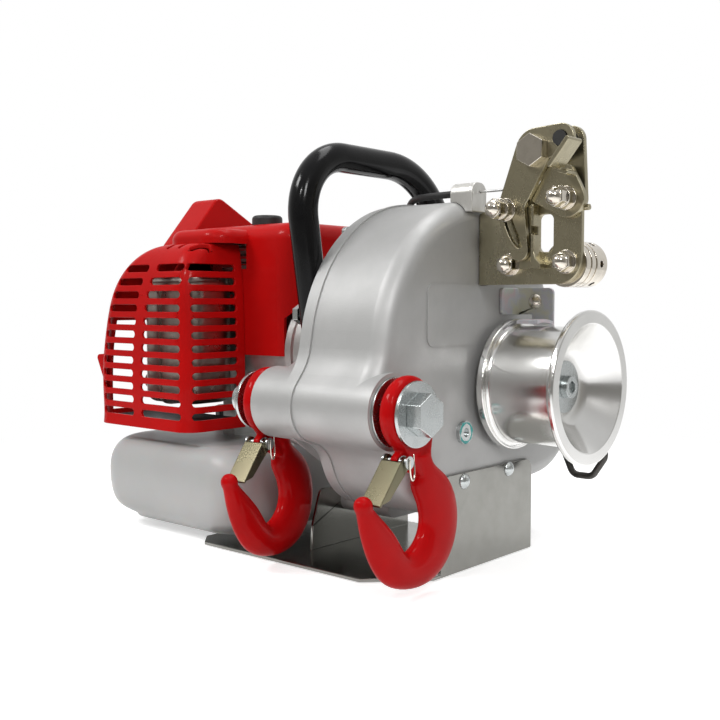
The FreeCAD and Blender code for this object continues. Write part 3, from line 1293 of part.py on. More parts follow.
def lock_bracket():
    """Nickel-plated angle: a flange on the case and the main plate with the rope window."""
    right, low, top = LOCK_RIGHT, LOCK_LOW, LOCK_TOP
    plate = slab("y", LOCK_FRONT, LOCK_PLATE, [(CASE_FACE, low, 0), (right - 16, low + 16, 16),
                                               (right - 12, top - 12, 12), (CASE_FACE, LUG_SEAT - 1, 0)])
    flange = slab("x", CASE_FACE, LOCK_PLATE, [(LOCK_FRONT, low, 0), (40, low + 6, 4), (40, LUG_SEAT - 5, 4),
                                               (LOCK_FRONT, LUG_SEAT - 1, 0)])
    angle = round_edges(fuse([plate, flange]), LOCK_PLATE - 0.5,
                        lambda e: e.BoundBox.XMax < CASE_FACE + 0.01 and e.BoundBox.YMax < LOCK_FRONT + 0.01)
    stop = rod("x", LOCK_FRONT + LOCK_PLATE / 2, 249, right - 2, right + 5, 2.0)
    holes = [slab("y", LOCK_FRONT - 1, LOCK_PLATE + 2, rounded(*WINDOW, 4))]
    for x, z in LOWER_BOLTS + [(GUIDE_X, GUIDE_Z), (PIVOT_X, PIVOT_Z)]:
        holes.append(rod("y", x, z, LOCK_FRONT - 1, LOCK_BACK + 1, LOCK_BOLT_R + SEAT_GAP))
    for y, z in LOCK_SCREWS:
        holes.append(rod("x", y, z, CASE_FACE - 1, CASE_FACE + LOCK_PLATE + 1, SCREW_R + SEAT_GAP))
    return fuse([angle, stop]).cut(Part.makeCompound(holes))


def acorn_stack(x, z, front, tall):
    """Solids in front of a plate: a washer, for a tall stack a nut and another washer, and the acorn nut."""
    stack = [rod("y", x, z, front - STACK_WASHER, front, ACORN_R * 1.2)]
    face = front - STACK_WASHER
    if tall:
        stack.append(hexagon("y", x, z, face - STACK_NUT, STACK_NUT, ACORN_R * 1.95))
        face -= STACK_NUT + STACK_WASHER
        stack.append(rod("y", x, z, face, face + STACK_WASHER, ACORN_R * 1.1))
    stack.append(hexagon("y", x, z, face - ACORN_H, ACORN_H, ACORN_R * 1.8))
    stack.append(Part.makeSphere(ACORN_R * 0.82, V(x, face - ACORN_H, z)))
    return stack


def acorn_bolt(x, z, front, back, tall):
    """Bolt along Y with an acorn stack in front and a thin nut behind."""
    shank = rod("y", x, z, front - STACK_WASHER, back + 1, LOCK_BOLT_R)
    tail = hexagon("y", x, z, back, 4, 10)
    return fuse(acorn_stack(x, z, front, tall) + [shank, tail])


def lock_bolts():
    """Acorn bolts of the rope lock, the flange screws and the rope guard's screw."""
    bolts = [acorn_bolt(x, z, LOCK_FRONT, LOCK_BACK, False) for x, z in LOWER_BOLTS[:1]]
    hub_x, hub_z = LOWER_BOLTS[1]
    shank = rod("y", hub_x, hub_z, LOCK_FRONT - STACK_WASHER, LOCK_BACK, LOCK_BOLT_R)
    bolts.append(fuse(acorn_stack(hub_x, hub_z, LOCK_FRONT, False) + [shank]))
    bolts.append(acorn_bolt(GUIDE_X, GUIDE_Z, ARM_FRONT - SLIDE_GAP, LOCK_BACK, True))
    bolts.append(acorn_bolt(PIVOT_X, PIVOT_Z, CAM_FRONT - SLIDE_GAP, REAR_ARM + ARM_T + SLIDE_GAP, True))
    for y, z in LOCK_SCREWS:
        bolts.append(dome_screw("x", y, z, CASE_FACE + LOCK_PLATE, 1, SCREW_R, LOCK_PLATE + 4))
    x, z = GUARD_SCREW
    bolts.append(dome_screw("y", x, z, GUARD_Y, -1, SCREW_R, GUARD_T))
    return group(bolts)


def lock_arm_front():
    """Front arm plate: head with the hinge bolt and bumper, leaning side and slotted tongue."""
    end_angle = math.radians(GUIDE_ANGLE + ARM_TURN)
    tip = (PIVOT_X + SLOT_R * math.cos(end_angle), PIVOT_Z + SLOT_R * math.sin(end_angle))
    plate = slab("y", ARM_FRONT, ARM_T, [(*ARM_BOLT, ARM_HEAD_R), (GUIDE_X, GUIDE_Z, 7.5), (*TONGUE, 7),
                                         (147, 250, -2), (164.5, 279.5, -2), (*BUMPER, BUMPER_HEAD_R)])
    clear = LOCK_BOLT_R + SLIDE_GAP
    rim = [tube("y", PIVOT_X, PIVOT_Z, ARM_FRONT - 1, ARM_FRONT + ARM_T + 1, SLOT_R + clear, SLOT_R - clear)]
    a0, a1 = math.radians(GUIDE_ANGLE), math.radians(GUIDE_ANGLE + ARM_TURN)
    far = 2 * SLOT_R
    wedge = Part.makePolygon([V(PIVOT_X, ARM_FRONT - 1, PIVOT_Z)]
                             + [V(PIVOT_X + far * math.cos(a), ARM_FRONT - 1, PIVOT_Z + far * math.sin(a))
                                for a in (a0, (a0 + a1) / 2, a1)] + [V(PIVOT_X, ARM_FRONT - 1, PIVOT_Z)])
    wedge = Part.Face(wedge).extrude(V(0, ARM_T + 2, 0))
    holes = [rim[0].common(wedge), rod("y", GUIDE_X, GUIDE_Z, ARM_FRONT - 1, ARM_FRONT + ARM_T + 1, clear),
             rod("y", *tip, ARM_FRONT - 1, ARM_FRONT + ARM_T + 1, clear),
             rod("y", *ARM_BOLT, ARM_FRONT - 1, ARM_FRONT + ARM_T + 1, ARM_BOLT_R + SEAT_GAP),
             rod("y", *BUMPER, ARM_FRONT - 1, ARM_FRONT + ARM_T + 1, BUMPER_R + SEAT_GAP)]
    return plate.cut(Part.makeCompound(holes))


def lock_arm_rear():
    """Rear arm plate from the shared pivot up to the head."""
    plate = slab("y", REAR_ARM, ARM_T, [(*ARM_BOLT, ARM_HEAD_R), (PIVOT_X, PIVOT_Z, 9),
                                        (*BUMPER, BUMPER_HEAD_R)])
    holes = [rod("y", *ARM_BOLT, REAR_ARM - 1, REAR_ARM + ARM_T + 1, ARM_BOLT_R + SEAT_GAP),
             rod("y", *BUMPER, REAR_ARM - 1, REAR_ARM + ARM_T + 1, BUMPER_R + SEAT_GAP),
             rod("y", PIVOT_X, PIVOT_Z, REAR_ARM - 1, REAR_ARM + ARM_T + 1, LOCK_BOLT_R + RUN_FIT)]
    return plate.cut(Part.makeCompound(holes))


def arm_bolt():
    """Hexagon bolt that ties the two arm plates, with a shoulder between them."""
    back = REAR_ARM + ARM_T
    head = hexagon("y", *ARM_BOLT, ARM_FRONT - 7, 7, 19)
    shank = rod("y", *ARM_BOLT, ARM_FRONT - 1, back + 1, ARM_BOLT_R)
    shoulder = rod("y", *ARM_BOLT, ARM_FRONT + ARM_T, REAR_ARM, ARM_BOLT_R + 3)
    nut = hexagon("y", *ARM_BOLT, back, 6, 17)
    return fuse([head, shank, shoulder, nut])


def rubber_bumper():
    """Black rubber rod through both arm plates."""
    return rod("y", *BUMPER, ARM_FRONT - 1.5, REAR_ARM + ARM_T + 2, BUMPER_R)


def jaw_block():
    """Stepped jaw that the rope is pressed against, on the main plate; its inner edge stands forward."""
    corners = [(138.5, 210), (157, 210), (157, 213), (153, 217), (151.5, 223), (151.5, 232), (147, 234),
               (147, 238), (151.5, 238), (151.5, 252), (138.5, 252)]
    face = Part.Face(Part.makePolygon([V(x, JAW_FRONT, z) for x, z in corners + corners[:1]]))
    block = face.extrude(V(0, LOCK_FRONT - JAW_FRONT, 0))
    tongue_side = corners[0][0] - 1
    return block.cut(box(tongue_side, TONGUE[0] + 8.5, JAW_FRONT - 1, CAM_FRONT, LOCK_LOW, LOCK_TOP))


def cam_lever():
    """Rope cam with its beak on the pivot, and a strip that folds forward to the leaning thumb pad."""
    x, z = PIVOT_X, PIVOT_Z
    plate = slab("y", CAM_FRONT, CAM_T, [(x, z, CAM_R), (x - 1, z + 16, 6), (x - 11, z + 19.5, 3),
                                         (x - 24.5, z + 1.5, 2.5)])
    pad_end = ARM_FRONT - 2.0
    pad_y = pad_end - PAD_WIDTH
    strip = slab("y", pad_end - 4, CAM_FRONT + 1 - pad_end + 4, [(x, z + 17, 1.5), (x + 5, z + 15.5, 1.5)])
    pad = slab("y", pad_y, PAD_WIDTH, [(x + 0.7, z + 19.2, 1.5), (x + 13, z + 34.4, 1.5)])
    body = fuse([plate, strip, pad])
    return body.cut(rod("y", x, z, pad_y - 1, LOCK_FRONT, LOCK_BOLT_R + RUN_FIT))


def spring_hub():
    """Ribbed drum behind the plate that houses the lock spring, with setting holes round its rim."""
    end = LOCK_BACK + HUB_LENGTH
    hub = rod("y", HUB_X, HUB_Z, LOCK_BACK, end, HUB_R)
    hub = round_edges(hub, 2.0, lambda e: e.BoundBox.YMin > end - 0.1)
    cuts = [tube("y", HUB_X, HUB_Z, y, y + 1.5, HUB_R + 1, HUB_R - 1.2)
            for y in (LOCK_BACK + 6, LOCK_BACK + 13)]
    for k in range(6):
        hole = rod("x", end - 9, HUB_Z, HUB_X + HUB_R - 6, HUB_X + HUB_R + 2, 2.2)
        hole.rotate(V(HUB_X, 0, HUB_Z), V(0, 1, 0), 60 * k)
        cuts.append(hole)
    return hub.cut(Part.makeCompound(cuts))


LUG_LEFT = CASE_FACE - 14.0
LUG_R = 7.5
WIRE_END = 147.5        # outside the circle that the cam's beak sweeps


def cable_lug():
    """Cast lug that ends the cable sheath, on the bracket's flange."""
    outline = [(-5, LUG_SEAT, 0), (LOCK_BACK, LUG_SEAT, 0), (CABLE_Y, CABLE_Z - 1, LUG_R),
               (CABLE_Y - 3, CABLE_Z - 1, LUG_R)]
    block = slab("x", LUG_LEFT, CASE_FACE + LOCK_PLATE - LUG_LEFT, outline)
    case = round_edges(slab("x", CASE_SPLIT, CASE_FACE - CASE_SPLIT + SLIDE_GAP, case_outline(SLIDE_GAP)),
                       CASE_ROUND, lambda e: e.BoundBox.XMin > CASE_FACE)
    block = block.cut(case)
    return block.cut(rod("x", CABLE_Y, CABLE_Z, LUG_LEFT - 1, LUG_LEFT + 10, CABLE_R + SEAT_GAP)).cut(
        rod("x", CABLE_Y, CABLE_Z, LUG_LEFT, CASE_FACE + 20, WIRE_R + SEAT_GAP))


def throttle_cable():
    """Cable sheath from the lug over the case, down past the hood's rear corner to the carburettor."""
    y, z = LEVER_Y - LEVER_REACH, LEVER_Z + 1.5
    points = [(LUG_LEFT + 9, CABLE_Y, CABLE_Z), (60, CABLE_Y, CABLE_Z), (38, 16, CABLE_Z),
              (20, 34, CABLE_Z - 4), (0, 48, CABLE_Z - 10), (-30, y - 1, CABLE_Z - 20), (-56, y + 1, z + 6),
              (-72, y, z), (CARB_X + 15, y, z)]
    return pipe(route(points), CABLE_R)


def throttle_wire():
    """Bare inner wire from the lug to the cam's edge."""
    return rod("x", CABLE_Y, CABLE_Z, CASE_FACE + LOCK_PLATE, WIRE_END, WIRE_R)


# Rope guard and keeper

GUARD_Y = 59.0
GUARD_T = 2.5
GUARD_SCREW = (118.0, 188.0)
GUARD_END = 133.0
KEEPER_R = 2.5
KEEPER_BEND = 7.0
KEEPER_Y = 97.0
KEEPER_ENDS = [(KEEPER_Y, 84.0), (KEEPER_Y, 104.0)]


def rope_guard():
    """Zinc-plated angle above the drum with a lip that curls over the barrel."""
    low = DRUM_Z + INNER_FLANGE_R + 3
    flange = slab("x", CASE_FACE, GUARD_T, rounded(37, GUARD_Y + GUARD_T, low, 198, 3))
    plate = slab("y", GUARD_Y, GUARD_T, [(CASE_FACE, low, 0), (GUARD_END - 4, low + 4, 4),
                                         (GUARD_END - 4, 194, 4), (CASE_FACE, 198, 0)])
    start = DRUM_START + INNER_FLANGE_T + 3
    lip_r = DRUM_R + 2.5
    ring = tube("x", DRUM_Y, DRUM_Z, start, GUARD_END, lip_r + GUARD_T, lip_r)
    keep = box(start, GUARD_END, DRUM_Y - 9, GUARD_Y + GUARD_T, DRUM_Z, low + 8)
    lip = ring.common(keep)
    link = box(start, GUARD_END, GUARD_Y, GUARD_Y + GUARD_T, DRUM_Z + 43.5, low + 3)
    hole = rod("y", *GUARD_SCREW, GUARD_Y - 1, GUARD_Y + GUARD_T + 1, SCREW_R + SEAT_GAP)
    return fuse([flange, plate, lip, link]).cut(hole)


def rope_keeper():
    """Bent rod loop under the rear of the drum, both ends in the case."""
    (y, z0), (_, z1) = KEEPER_ENDS
    start = CASE_FACE - 3
    points = [V(start, y, z0), V(118, y, z0), V(130, y, 57), V(146, y, 57), V(156, y, 72),
              V(156, y, z1), V(start, y, z1)]
    return pipe(bent(points, [KEEPER_BEND] * 5), KEEPER_R)


def build():
    """Every node by name."""
    nodes = {}
    for maker in (base_plate, base_screws, gear_case, case_cover, case_bolts, oil_plug, anchor_bolt, anchor_nut,
                  anchor_washers, shaft_bearings, output_seal, input_pinion, first_cluster_gear,
                  second_cluster_gear, output_gear, output_shaft, drum, drum_bolt, handle, clutch_housing,
                  clutch_drum, clutch_shoes, crankshaft, flywheel, crankcase, cylinder, spark_plug, plug_cap,
                  muffler, muffler_guard, engine_hood, starter_cover, starter_grip, carburettor, throttle_lever,
                  air_cleaner, fuel_tank, tank_cap, fuel_line, lock_bracket, lock_bolts, lock_arm_front,
                  lock_arm_rear, arm_bolt, rubber_bumper, jaw_block, cam_lever, spring_hub, cable_lug,
                  throttle_cable, throttle_wire, rope_guard, rope_keeper):
        nodes[maker.__name__] = maker()
    for side, mid, yaw in (("right", RIGHT_MID, 0.0), ("left", LEFT_MID, HOOK_YAW)):
        for maker in (hook, latch, latch_pivot):
            shape = maker(mid)
            shape.rotate(V(mid, ANCHOR_Y, 0), V(0, 0, 1), yaw)
            nodes[maker.__name__ + "_" + side] = shape
    return nodes


os.makedirs("parts", exist_ok=True)
for name, shape in build().items():
    shape.exportStep("parts/" + name + ".step")
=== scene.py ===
"""Looks of the portable capstan winch: finishes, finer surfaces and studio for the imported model."""

import json
import logging
import math
from dataclasses import dataclass, field
from enum import Enum

import bmesh
import bpy
import numpy as np
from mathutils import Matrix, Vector

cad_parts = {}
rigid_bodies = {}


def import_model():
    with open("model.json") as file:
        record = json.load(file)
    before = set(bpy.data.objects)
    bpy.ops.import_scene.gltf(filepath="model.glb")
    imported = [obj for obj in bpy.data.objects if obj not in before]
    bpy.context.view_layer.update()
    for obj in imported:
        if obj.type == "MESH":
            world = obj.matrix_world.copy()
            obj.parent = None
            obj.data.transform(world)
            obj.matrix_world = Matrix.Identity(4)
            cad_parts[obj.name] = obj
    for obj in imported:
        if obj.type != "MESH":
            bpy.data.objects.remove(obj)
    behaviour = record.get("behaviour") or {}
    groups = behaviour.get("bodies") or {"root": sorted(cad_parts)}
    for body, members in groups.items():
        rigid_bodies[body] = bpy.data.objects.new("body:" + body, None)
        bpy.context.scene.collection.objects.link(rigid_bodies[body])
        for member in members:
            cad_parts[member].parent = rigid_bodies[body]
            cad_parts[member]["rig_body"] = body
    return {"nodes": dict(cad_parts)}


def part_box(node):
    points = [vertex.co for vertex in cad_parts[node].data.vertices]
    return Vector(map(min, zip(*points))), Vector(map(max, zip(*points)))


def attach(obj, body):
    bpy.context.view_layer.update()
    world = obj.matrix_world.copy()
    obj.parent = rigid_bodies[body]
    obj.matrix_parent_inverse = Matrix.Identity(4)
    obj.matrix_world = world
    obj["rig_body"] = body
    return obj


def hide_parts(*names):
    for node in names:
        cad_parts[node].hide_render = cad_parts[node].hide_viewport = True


LOG = logging.getLogger("winch")
Color = tuple[float, float, float]
Point = tuple[float, float, float]
Socket = bpy.types.NodeSocket

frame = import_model()


# Node wiring

class Board:
    """Short hand for placing and joining the nodes of one tree."""

    def __init__(self, tree: bpy.types.NodeTree) -> None:
        """Keep the tree to work on."""
        self.tree = tree

    def add(self, kind: str, inputs: dict | None = None, **settings: object) -> bpy.types.Node:
        """Place a node.

        Args:
            kind: Blender's node type name.
            inputs: socket values by name or index.
            settings: node properties.

        Returns:
            The new node.
        """
        node = self.tree.nodes.new(kind)
        for key, value in settings.items():
            setattr(node, key, value)
        for key, value in (inputs or {}).items():
            node.inputs[key].default_value = value
        return node

    def join(self, source: Socket, target: Socket) -> None:
        """Link an output to an input."""
        self.tree.links.new(source, target)

    def math(self, operation: str, first: Socket, second: Socket | float) -> Socket:
        """Combine two numbers.

        Args:
            operation: name of the sum, product and so on.
            first: a socket.
            second: a socket or a plain number.

        Returns:
            The result's socket.
        """
        node = self.add("ShaderNodeMath", operation=operation)
        self.join(first, node.inputs[0])
        if isinstance(second, float):
            node.inputs[1].default_value = second
        else:
            self.join(second, node.inputs[1])
        return node.outputs[0]

    def ramp(self, value: Socket, stops: tuple[tuple[float, Color], ...]) -> Socket:
        """Colour ramp over a number.

        Args:
            value: the number from 0 to 1.
            stops: place and colour of each stop.

        Returns:
            The colour's socket.
        """
        node = self.add("ShaderNodeValToRGB")
        elements = node.color_ramp.elements
        while len(elements) < len(stops):
            elements.new(0.5)
        for element, (place, tint) in zip(elements, stops):
            element.position = place
            element.color = (*tint, 1.0)
        self.join(value, node.inputs[0])
        return node.outputs[0]


class Effects:
    """Node groups that several finishes share."""

    _made: dict[str, bpy.types.NodeTree] = {}

    @classmethod
    def _start(cls, name: str,
               numbers: dict[str, float]) -> tuple[Board, bpy.types.Node, bpy.types.Node]:
        """Open a group with a vector input, number inputs and one mask output.

        Args:
            name: group name.
            numbers: default of each number input by name.

        Returns:
            The board, the group's input node and its output node.
        """
        tree = bpy.data.node_groups.new(name, "ShaderNodeTree")
        tree.interface.new_socket("Vector", in_out="INPUT", socket_type="NodeSocketVector")
        for label, value in numbers.items():
            socket = tree.interface.new_socket(label, in_out="INPUT", socket_type="NodeSocketFloat")
            socket.default_value = value
        tree.interface.new_socket("Mask", in_out="OUTPUT", socket_type="NodeSocketFloat")
        board = Board(tree)
        cls._made[name] = tree
        return board, board.add("NodeGroupInput"), board.add("NodeGroupOutput")

    @classmethod
    def mottle(cls) -> bpy.types.NodeTree:
        """Soft cloudy mask: fractal noise stretched to the full range between Low and High."""
        if "mottle" in cls._made:
            return cls._made["mottle"]
        board, start, end = cls._start(
            "mottle", {"Scale": 60.0, "Detail": 4.0, "Low": 0.35, "High": 0.65})
        noise = board.add("ShaderNodeTexNoise", {"Roughness": 0.55})
        spread = board.add("ShaderNodeMapRange")
        for label in ("Vector", "Scale", "Detail"):
            board.join(start.outputs[label], noise.inputs[label])
        board.join(noise.outputs[0], spread.inputs["Value"])
        board.join(start.outputs["Low"], spread.inputs["From Min"])
        board.join(start.outputs["High"], spread.inputs["From Max"])
        board.join(spread.outputs[0], end.inputs["Mask"])
        return cls._made["mottle"]

    @classmethod
    def pores(cls) -> bpy.types.NodeTree:
        """Casting pores: 0 at scattered cell points, rising to 1 at the distance Size from them."""
        if "pores" in cls._made:
            return cls._made["pores"]
        board, start, end = cls._start("pores", {"Scale": 500.0, "Size": 0.16})
        cells = board.add("ShaderNodeTexVoronoi")
        board.join(start.outputs["Vector"], cells.inputs["Vector"])
        board.join(start.outputs["Scale"], cells.inputs["Scale"])
        step = board.add("ShaderNodeMapRange")
        board.join(cells.outputs["Distance"], step.inputs["Value"])
        board.join(start.outputs["Size"], step.inputs["From Max"])
        board.join(step.outputs[0], end.inputs["Mask"])
        return cls._made["pores"]

    @classmethod
    def lathe(cls) -> bpy.types.NodeTree:
        """Fine turning marks: noise over the distance from an axis along X and the place on it."""
        if "lathe" in cls._made:
            return cls._made["lathe"]
        board, start, end = cls._start(
            "lathe", {"Axis Y": 0.0, "Axis Z": 0.0, "Density": 2500.0})
        split = board.add("ShaderNodeSeparateXYZ")
        board.join(start.outputs["Vector"], split.inputs[0])
        squares = []
        for axis, label in (("Y", "Axis Y"), ("Z", "Axis Z")):
            away = board.math("SUBTRACT", split.outputs[axis], start.outputs[label])
            squares.append(board.math("MULTIPLY", away, away))
        total = board.math("ADD", squares[0], squares[1])
        root = board.math("POWER", total, 0.5)
        place = board.add("ShaderNodeCombineXYZ")
        board.join(split.outputs["X"], place.inputs["X"])
        board.join(root, place.inputs["Y"])
        noise = board.add("ShaderNodeTexNoise", {"Detail": 3.0, "Roughness": 0.7})
        board.join(place.outputs[0], noise.inputs["Vector"])
        board.join(start.outputs["Density"], noise.inputs["Scale"])
        board.join(noise.outputs[0], end.inputs["Mask"])
        return cls._made["lathe"]


# Finishes

GLOW_DEPTH = 0.012
RELIEF_SHARE = 0.4
GRAIN = {"Detail": 3.0, "Low": 0.25, "High": 0.75}
PORES = {"Scale": 420.0, "Size": 0.2}
PEEL = {"Scale": 140.0, "Detail": 1.0, "Low": 0.2, "High": 0.8}
DRUM_AXIS = (0.047, 0.128)


@dataclass(frozen=True)
class Finish:
    """A surface: tints that cloud into each other, a roughness range and a fine relief in metres.

    Cloud and grain are the noise scales of the tints and of the relief.
    """

    name: str
    tints: tuple[Color, ...]
    metallic: float = 0.0
    smooth: float = 0.3
    rough: float = 0.45
    cloud: float = 40.0
    grain: float = 600.0
    relief: float = 0.00002
    stretch: Point = (1.0, 1.0, 1.0)
    coat: float = 0.0
    coat_rough: float = 0.05
    specular: float = 0.5
    glow_through: float = 0.0
    pore_depth: float = 0.0
    peel: float = 0.0

    def _group(self, board: Board, tree: bpy.types.NodeTree, vector: Socket,
               values: dict[str, float]) -> Socket:
        """Place a shared effect with its own values.

        Args:
            board: the material's board.
            tree: the effect.
            vector: where it reads its place.
            values: its numbers by socket name.

        Returns:
            The effect's mask.
        """
        group = board.add("ShaderNodeGroup", node_tree=tree)
        for label, value in values.items():
            group.inputs[label].default_value = value
        board.join(vector, group.inputs["Vector"])
        return group.outputs["Mask"]

    def _relief_mask(self, board: Board, vector: Socket) -> Socket:
        """Height of the fine relief: dense noise."""
        return self._group(board, Effects.mottle(), vector, {"Scale": self.grain, **GRAIN})

    def material(self) -> bpy.types.Material:
        """Build the finish once.

        Returns:
            The material named for this finish.
        """
        title = self.name + "_finish"
        known = bpy.data.materials.get(title)
        if known:
            return known
        made = bpy.data.materials.new(title)
        made.use_nodes = True
        made.node_tree.nodes.clear()
        board = Board(made.node_tree)
        out = board.add("ShaderNodeOutputMaterial")
        body = board.add("ShaderNodeBsdfPrincipled", {
            "Metallic": self.metallic, "Coat Weight": self.coat, "Coat Roughness": self.coat_rough,
            "Specular IOR Level": self.specular, "Subsurface Weight": self.glow_through,
            "Subsurface Scale": GLOW_DEPTH})
        board.join(body.outputs[0], out.inputs[0])
        where = board.add("ShaderNodeTexCoord")
        spread = board.add("ShaderNodeMapping", {"Scale": self.stretch})
        board.join(where.outputs["Object"], spread.inputs["Vector"])
        place = spread.outputs[0]
        cloud = self._group(board, Effects.mottle(), place, {"Scale": self.cloud})
        relief = self._relief_mask(board, place)
        self._paint(board, body, cloud)
        blend = board.add("ShaderNodeMix", {"Factor": RELIEF_SHARE})
        board.join(cloud, blend.inputs["A"])
        board.join(relief, blend.inputs["B"])
        wear = board.add("ShaderNodeMapRange", {"To Min": self.smooth, "To Max": self.rough})
        board.join(blend.outputs["Result"], wear.inputs["Value"])
        board.join(wear.outputs[0], body.inputs["Roughness"])
        board.join(self._normal(board, place, relief), body.inputs["Normal"])
        return made

    def _normal(self, board: Board, place: Socket, relief: Socket) -> Socket:
        """Chain of bumps: fine relief, then pores or the slow waves of thick paint if it has them.

        Args:
            board: the material's board.
            place: where the effects read their place.
            relief: height of the fine relief.

        Returns:
            The normal's socket.
        """
        bump = board.add("ShaderNodeBump", {"Strength": 1.0, "Distance": self.relief})
        board.join(relief, bump.inputs["Height"])
        extra = [(self.pore_depth, Effects.pores, PORES), (self.peel, Effects.mottle, PEEL)]
        for depth, effect, values in extra:
            if depth:
                height = self._group(board, effect(), place, values)
                more = board.add("ShaderNodeBump", {"Strength": 1.0, "Distance": depth})
                board.join(height, more.inputs["Height"])
                board.join(bump.outputs[0], more.inputs["Normal"])
                bump = more
        return bump.outputs[0]

    def _paint(self, board: Board, body: bpy.types.Node, mask: Socket) -> None:
        """Colour the body: the tints in a row, spread evenly over the mask."""
        last = len(self.tints) - 1
        stops = tuple((k / last, tint) for k, tint in enumerate(self.tints))
        board.join(board.ramp(mask, stops), body.inputs["Base Color"])


@dataclass(frozen=True)
class TurnedFinish(Finish):
    """A finish with the rings that a lathe leaves about an axis along X."""

    axis: tuple[float, float] = (0.0, 0.0)
    density: float = 2500.0

    def _relief_mask(self, board: Board, vector: Socket) -> Socket:
        """Height of the turning marks."""
        return self._group(board, Effects.lathe(), vector, {
            "Axis Y": self.axis[0], "Axis Z": self.axis[1], "Density": self.density})


class Look(Enum):
    """Every finish of the winch by the piece that shows it."""

    CASTING = Finish(
        "casting", ((0.47, 0.47, 0.465), (0.42, 0.42, 0.415)), metallic=0.45,
        smooth=0.42, rough=0.56, cloud=26.0, grain=900.0, relief=0.00003, pore_depth=0.00002)
    ENGINE_CASTING = Finish(
        "engine_casting", ((0.50, 0.50, 0.49), (0.40, 0.40, 0.39)), metallic=1.0,
        smooth=0.38, rough=0.6, cloud=60.0, grain=700.0, relief=0.00006, pore_depth=0.00003)
    DRUM = TurnedFinish(
        "drum_polish", ((0.80, 0.795, 0.78), (0.75, 0.745, 0.73)), metallic=1.0,
        smooth=0.12, rough=0.24, cloud=30.0, relief=0.000005, axis=DRUM_AXIS)
    HOOK_RED = Finish(
        "hook_enamel", ((0.46, 0.003, 0.004), (0.42, 0.003, 0.004)),
        smooth=0.36, rough=0.46, cloud=50.0, grain=260.0, relief=0.00001,
        coat=0.15, coat_rough=0.03, specular=0.02, peel=0.00003)
    COVER_RED = Finish(
        "cover_red", ((0.48, 0.004, 0.004), (0.44, 0.004, 0.004)),
        smooth=0.34, rough=0.44, cloud=30.0, grain=500.0, relief=0.000008,
        coat=0.08, coat_rough=0.08, specular=0.07, peel=0.00003)
    HANDLE = Finish(
        "handle_black", ((0.004, 0.004, 0.0045), (0.007, 0.007, 0.0075)),
        smooth=0.12, rough=0.2, cloud=80.0, grain=420.0, relief=0.000004, specular=0.22)
    SHEET = Finish(
        "base_sheet", ((0.27, 0.268, 0.25), (0.25, 0.248, 0.23)), metallic=1.0,
        smooth=0.14, rough=0.22, cloud=24.0, grain=300.0, relief=0.000002,
        stretch=(0.25, 3.0, 3.0))
    ZINC = Finish(
        "zinc", ((0.53, 0.555, 0.555), (0.50, 0.525, 0.525)), metallic=1.0,
        smooth=0.22, rough=0.30, cloud=160.0, grain=900.0, relief=0.000004)
    YELLOW_ZINC = Finish(
        "yellow_zinc",
        ((0.155, 0.14, 0.088), (0.165, 0.148, 0.094), (0.158, 0.14, 0.09), (0.15, 0.14, 0.09)),
        metallic=1.0, smooth=0.26, rough=0.30, cloud=25.0, grain=900.0, relief=0.0000008)
    GUARD_ZINC = Finish(
        "guard_zinc",
        ((0.62, 0.70, 0.64), (0.74, 0.62, 0.67), (0.66, 0.68, 0.74), (0.72, 0.72, 0.60)),
        metallic=0.35, smooth=0.30, rough=0.42, cloud=42.0, grain=900.0, relief=0.00001)
    NICKEL = Finish(
        "nickel_plate", ((0.43, 0.39, 0.275), (0.36, 0.325, 0.225)), metallic=1.0,
        smooth=0.22, rough=0.36, cloud=90.0, grain=800.0, relief=0.000008,
        stretch=(1.0, 1.0, 0.5))
    BRIGHT_NICKEL = Finish(
        "bright_nickel", ((0.72, 0.67, 0.59), (0.64, 0.595, 0.52)), metallic=1.0,
        smooth=0.08, rough=0.18, cloud=150.0, grain=700.0, relief=0.000004)
    LUG = Finish(
        "lug_aluminium", ((0.72, 0.71, 0.68), (0.64, 0.63, 0.60)), metallic=0.9,
        smooth=0.35, rough=0.5, cloud=120.0, grain=900.0, relief=0.00001)
    STEEL = Finish(
        "gear_steel", ((0.55, 0.55, 0.55), (0.45, 0.45, 0.45)), metallic=1.0,
        smooth=0.25, rough=0.4, cloud=120.0, grain=900.0, relief=0.00001)
    MUFFLER = Finish(
        "muffler_steel", ((0.50, 0.46, 0.42), (0.36, 0.32, 0.29)), metallic=1.0,
        smooth=0.24, rough=0.42, cloud=60.0, grain=600.0, relief=0.00002)
    DARK_STEEL = Finish(
        "dark_steel", ((0.10, 0.095, 0.09), (0.06, 0.058, 0.055)), metallic=1.0,
        smooth=0.35, rough=0.55, cloud=80.0, grain=600.0, relief=0.00003)
    TANK = Finish(
        "tank_shell", ((0.43, 0.43, 0.425), (0.40, 0.40, 0.395)),
        smooth=0.32, rough=0.44, cloud=12.0, grain=300.0, relief=0.00002, glow_through=0.12)
    BLACK_PLASTIC = Finish(
        "black_plastic", ((0.014, 0.014, 0.015), (0.022, 0.022, 0.023)),
        smooth=0.42, rough=0.58, cloud=90.0, grain=1400.0, relief=0.00004)
    RUBBER = Finish(
        "rubber", ((0.012, 0.012, 0.012), (0.018, 0.018, 0.018)),
        smooth=0.45, rough=0.6, cloud=120.0, grain=1500.0, relief=0.00003)
    SEALANT = Finish(
        "sealant", ((0.05, 0.36, 0.34), (0.04, 0.28, 0.27)),
        smooth=0.3, rough=0.45, cloud=300.0, grain=500.0, relief=0.00005)


def dress(piece: bpy.types.Object, look: Look) -> bpy.types.Object:
    """Give an object one finish.

    Args:
        piece: the object.
        look: its finish.

    Returns:
        The same object.
    """
    piece.data.materials.clear()
    piece.data.materials.append(look.value.material())
    return piece


# Mesh making

SAME_POINT = 1e-6
SAME_CORNER = 2e-6
FLAT_ANGLE = 0.6
NORMAL_WEIGHT = 50


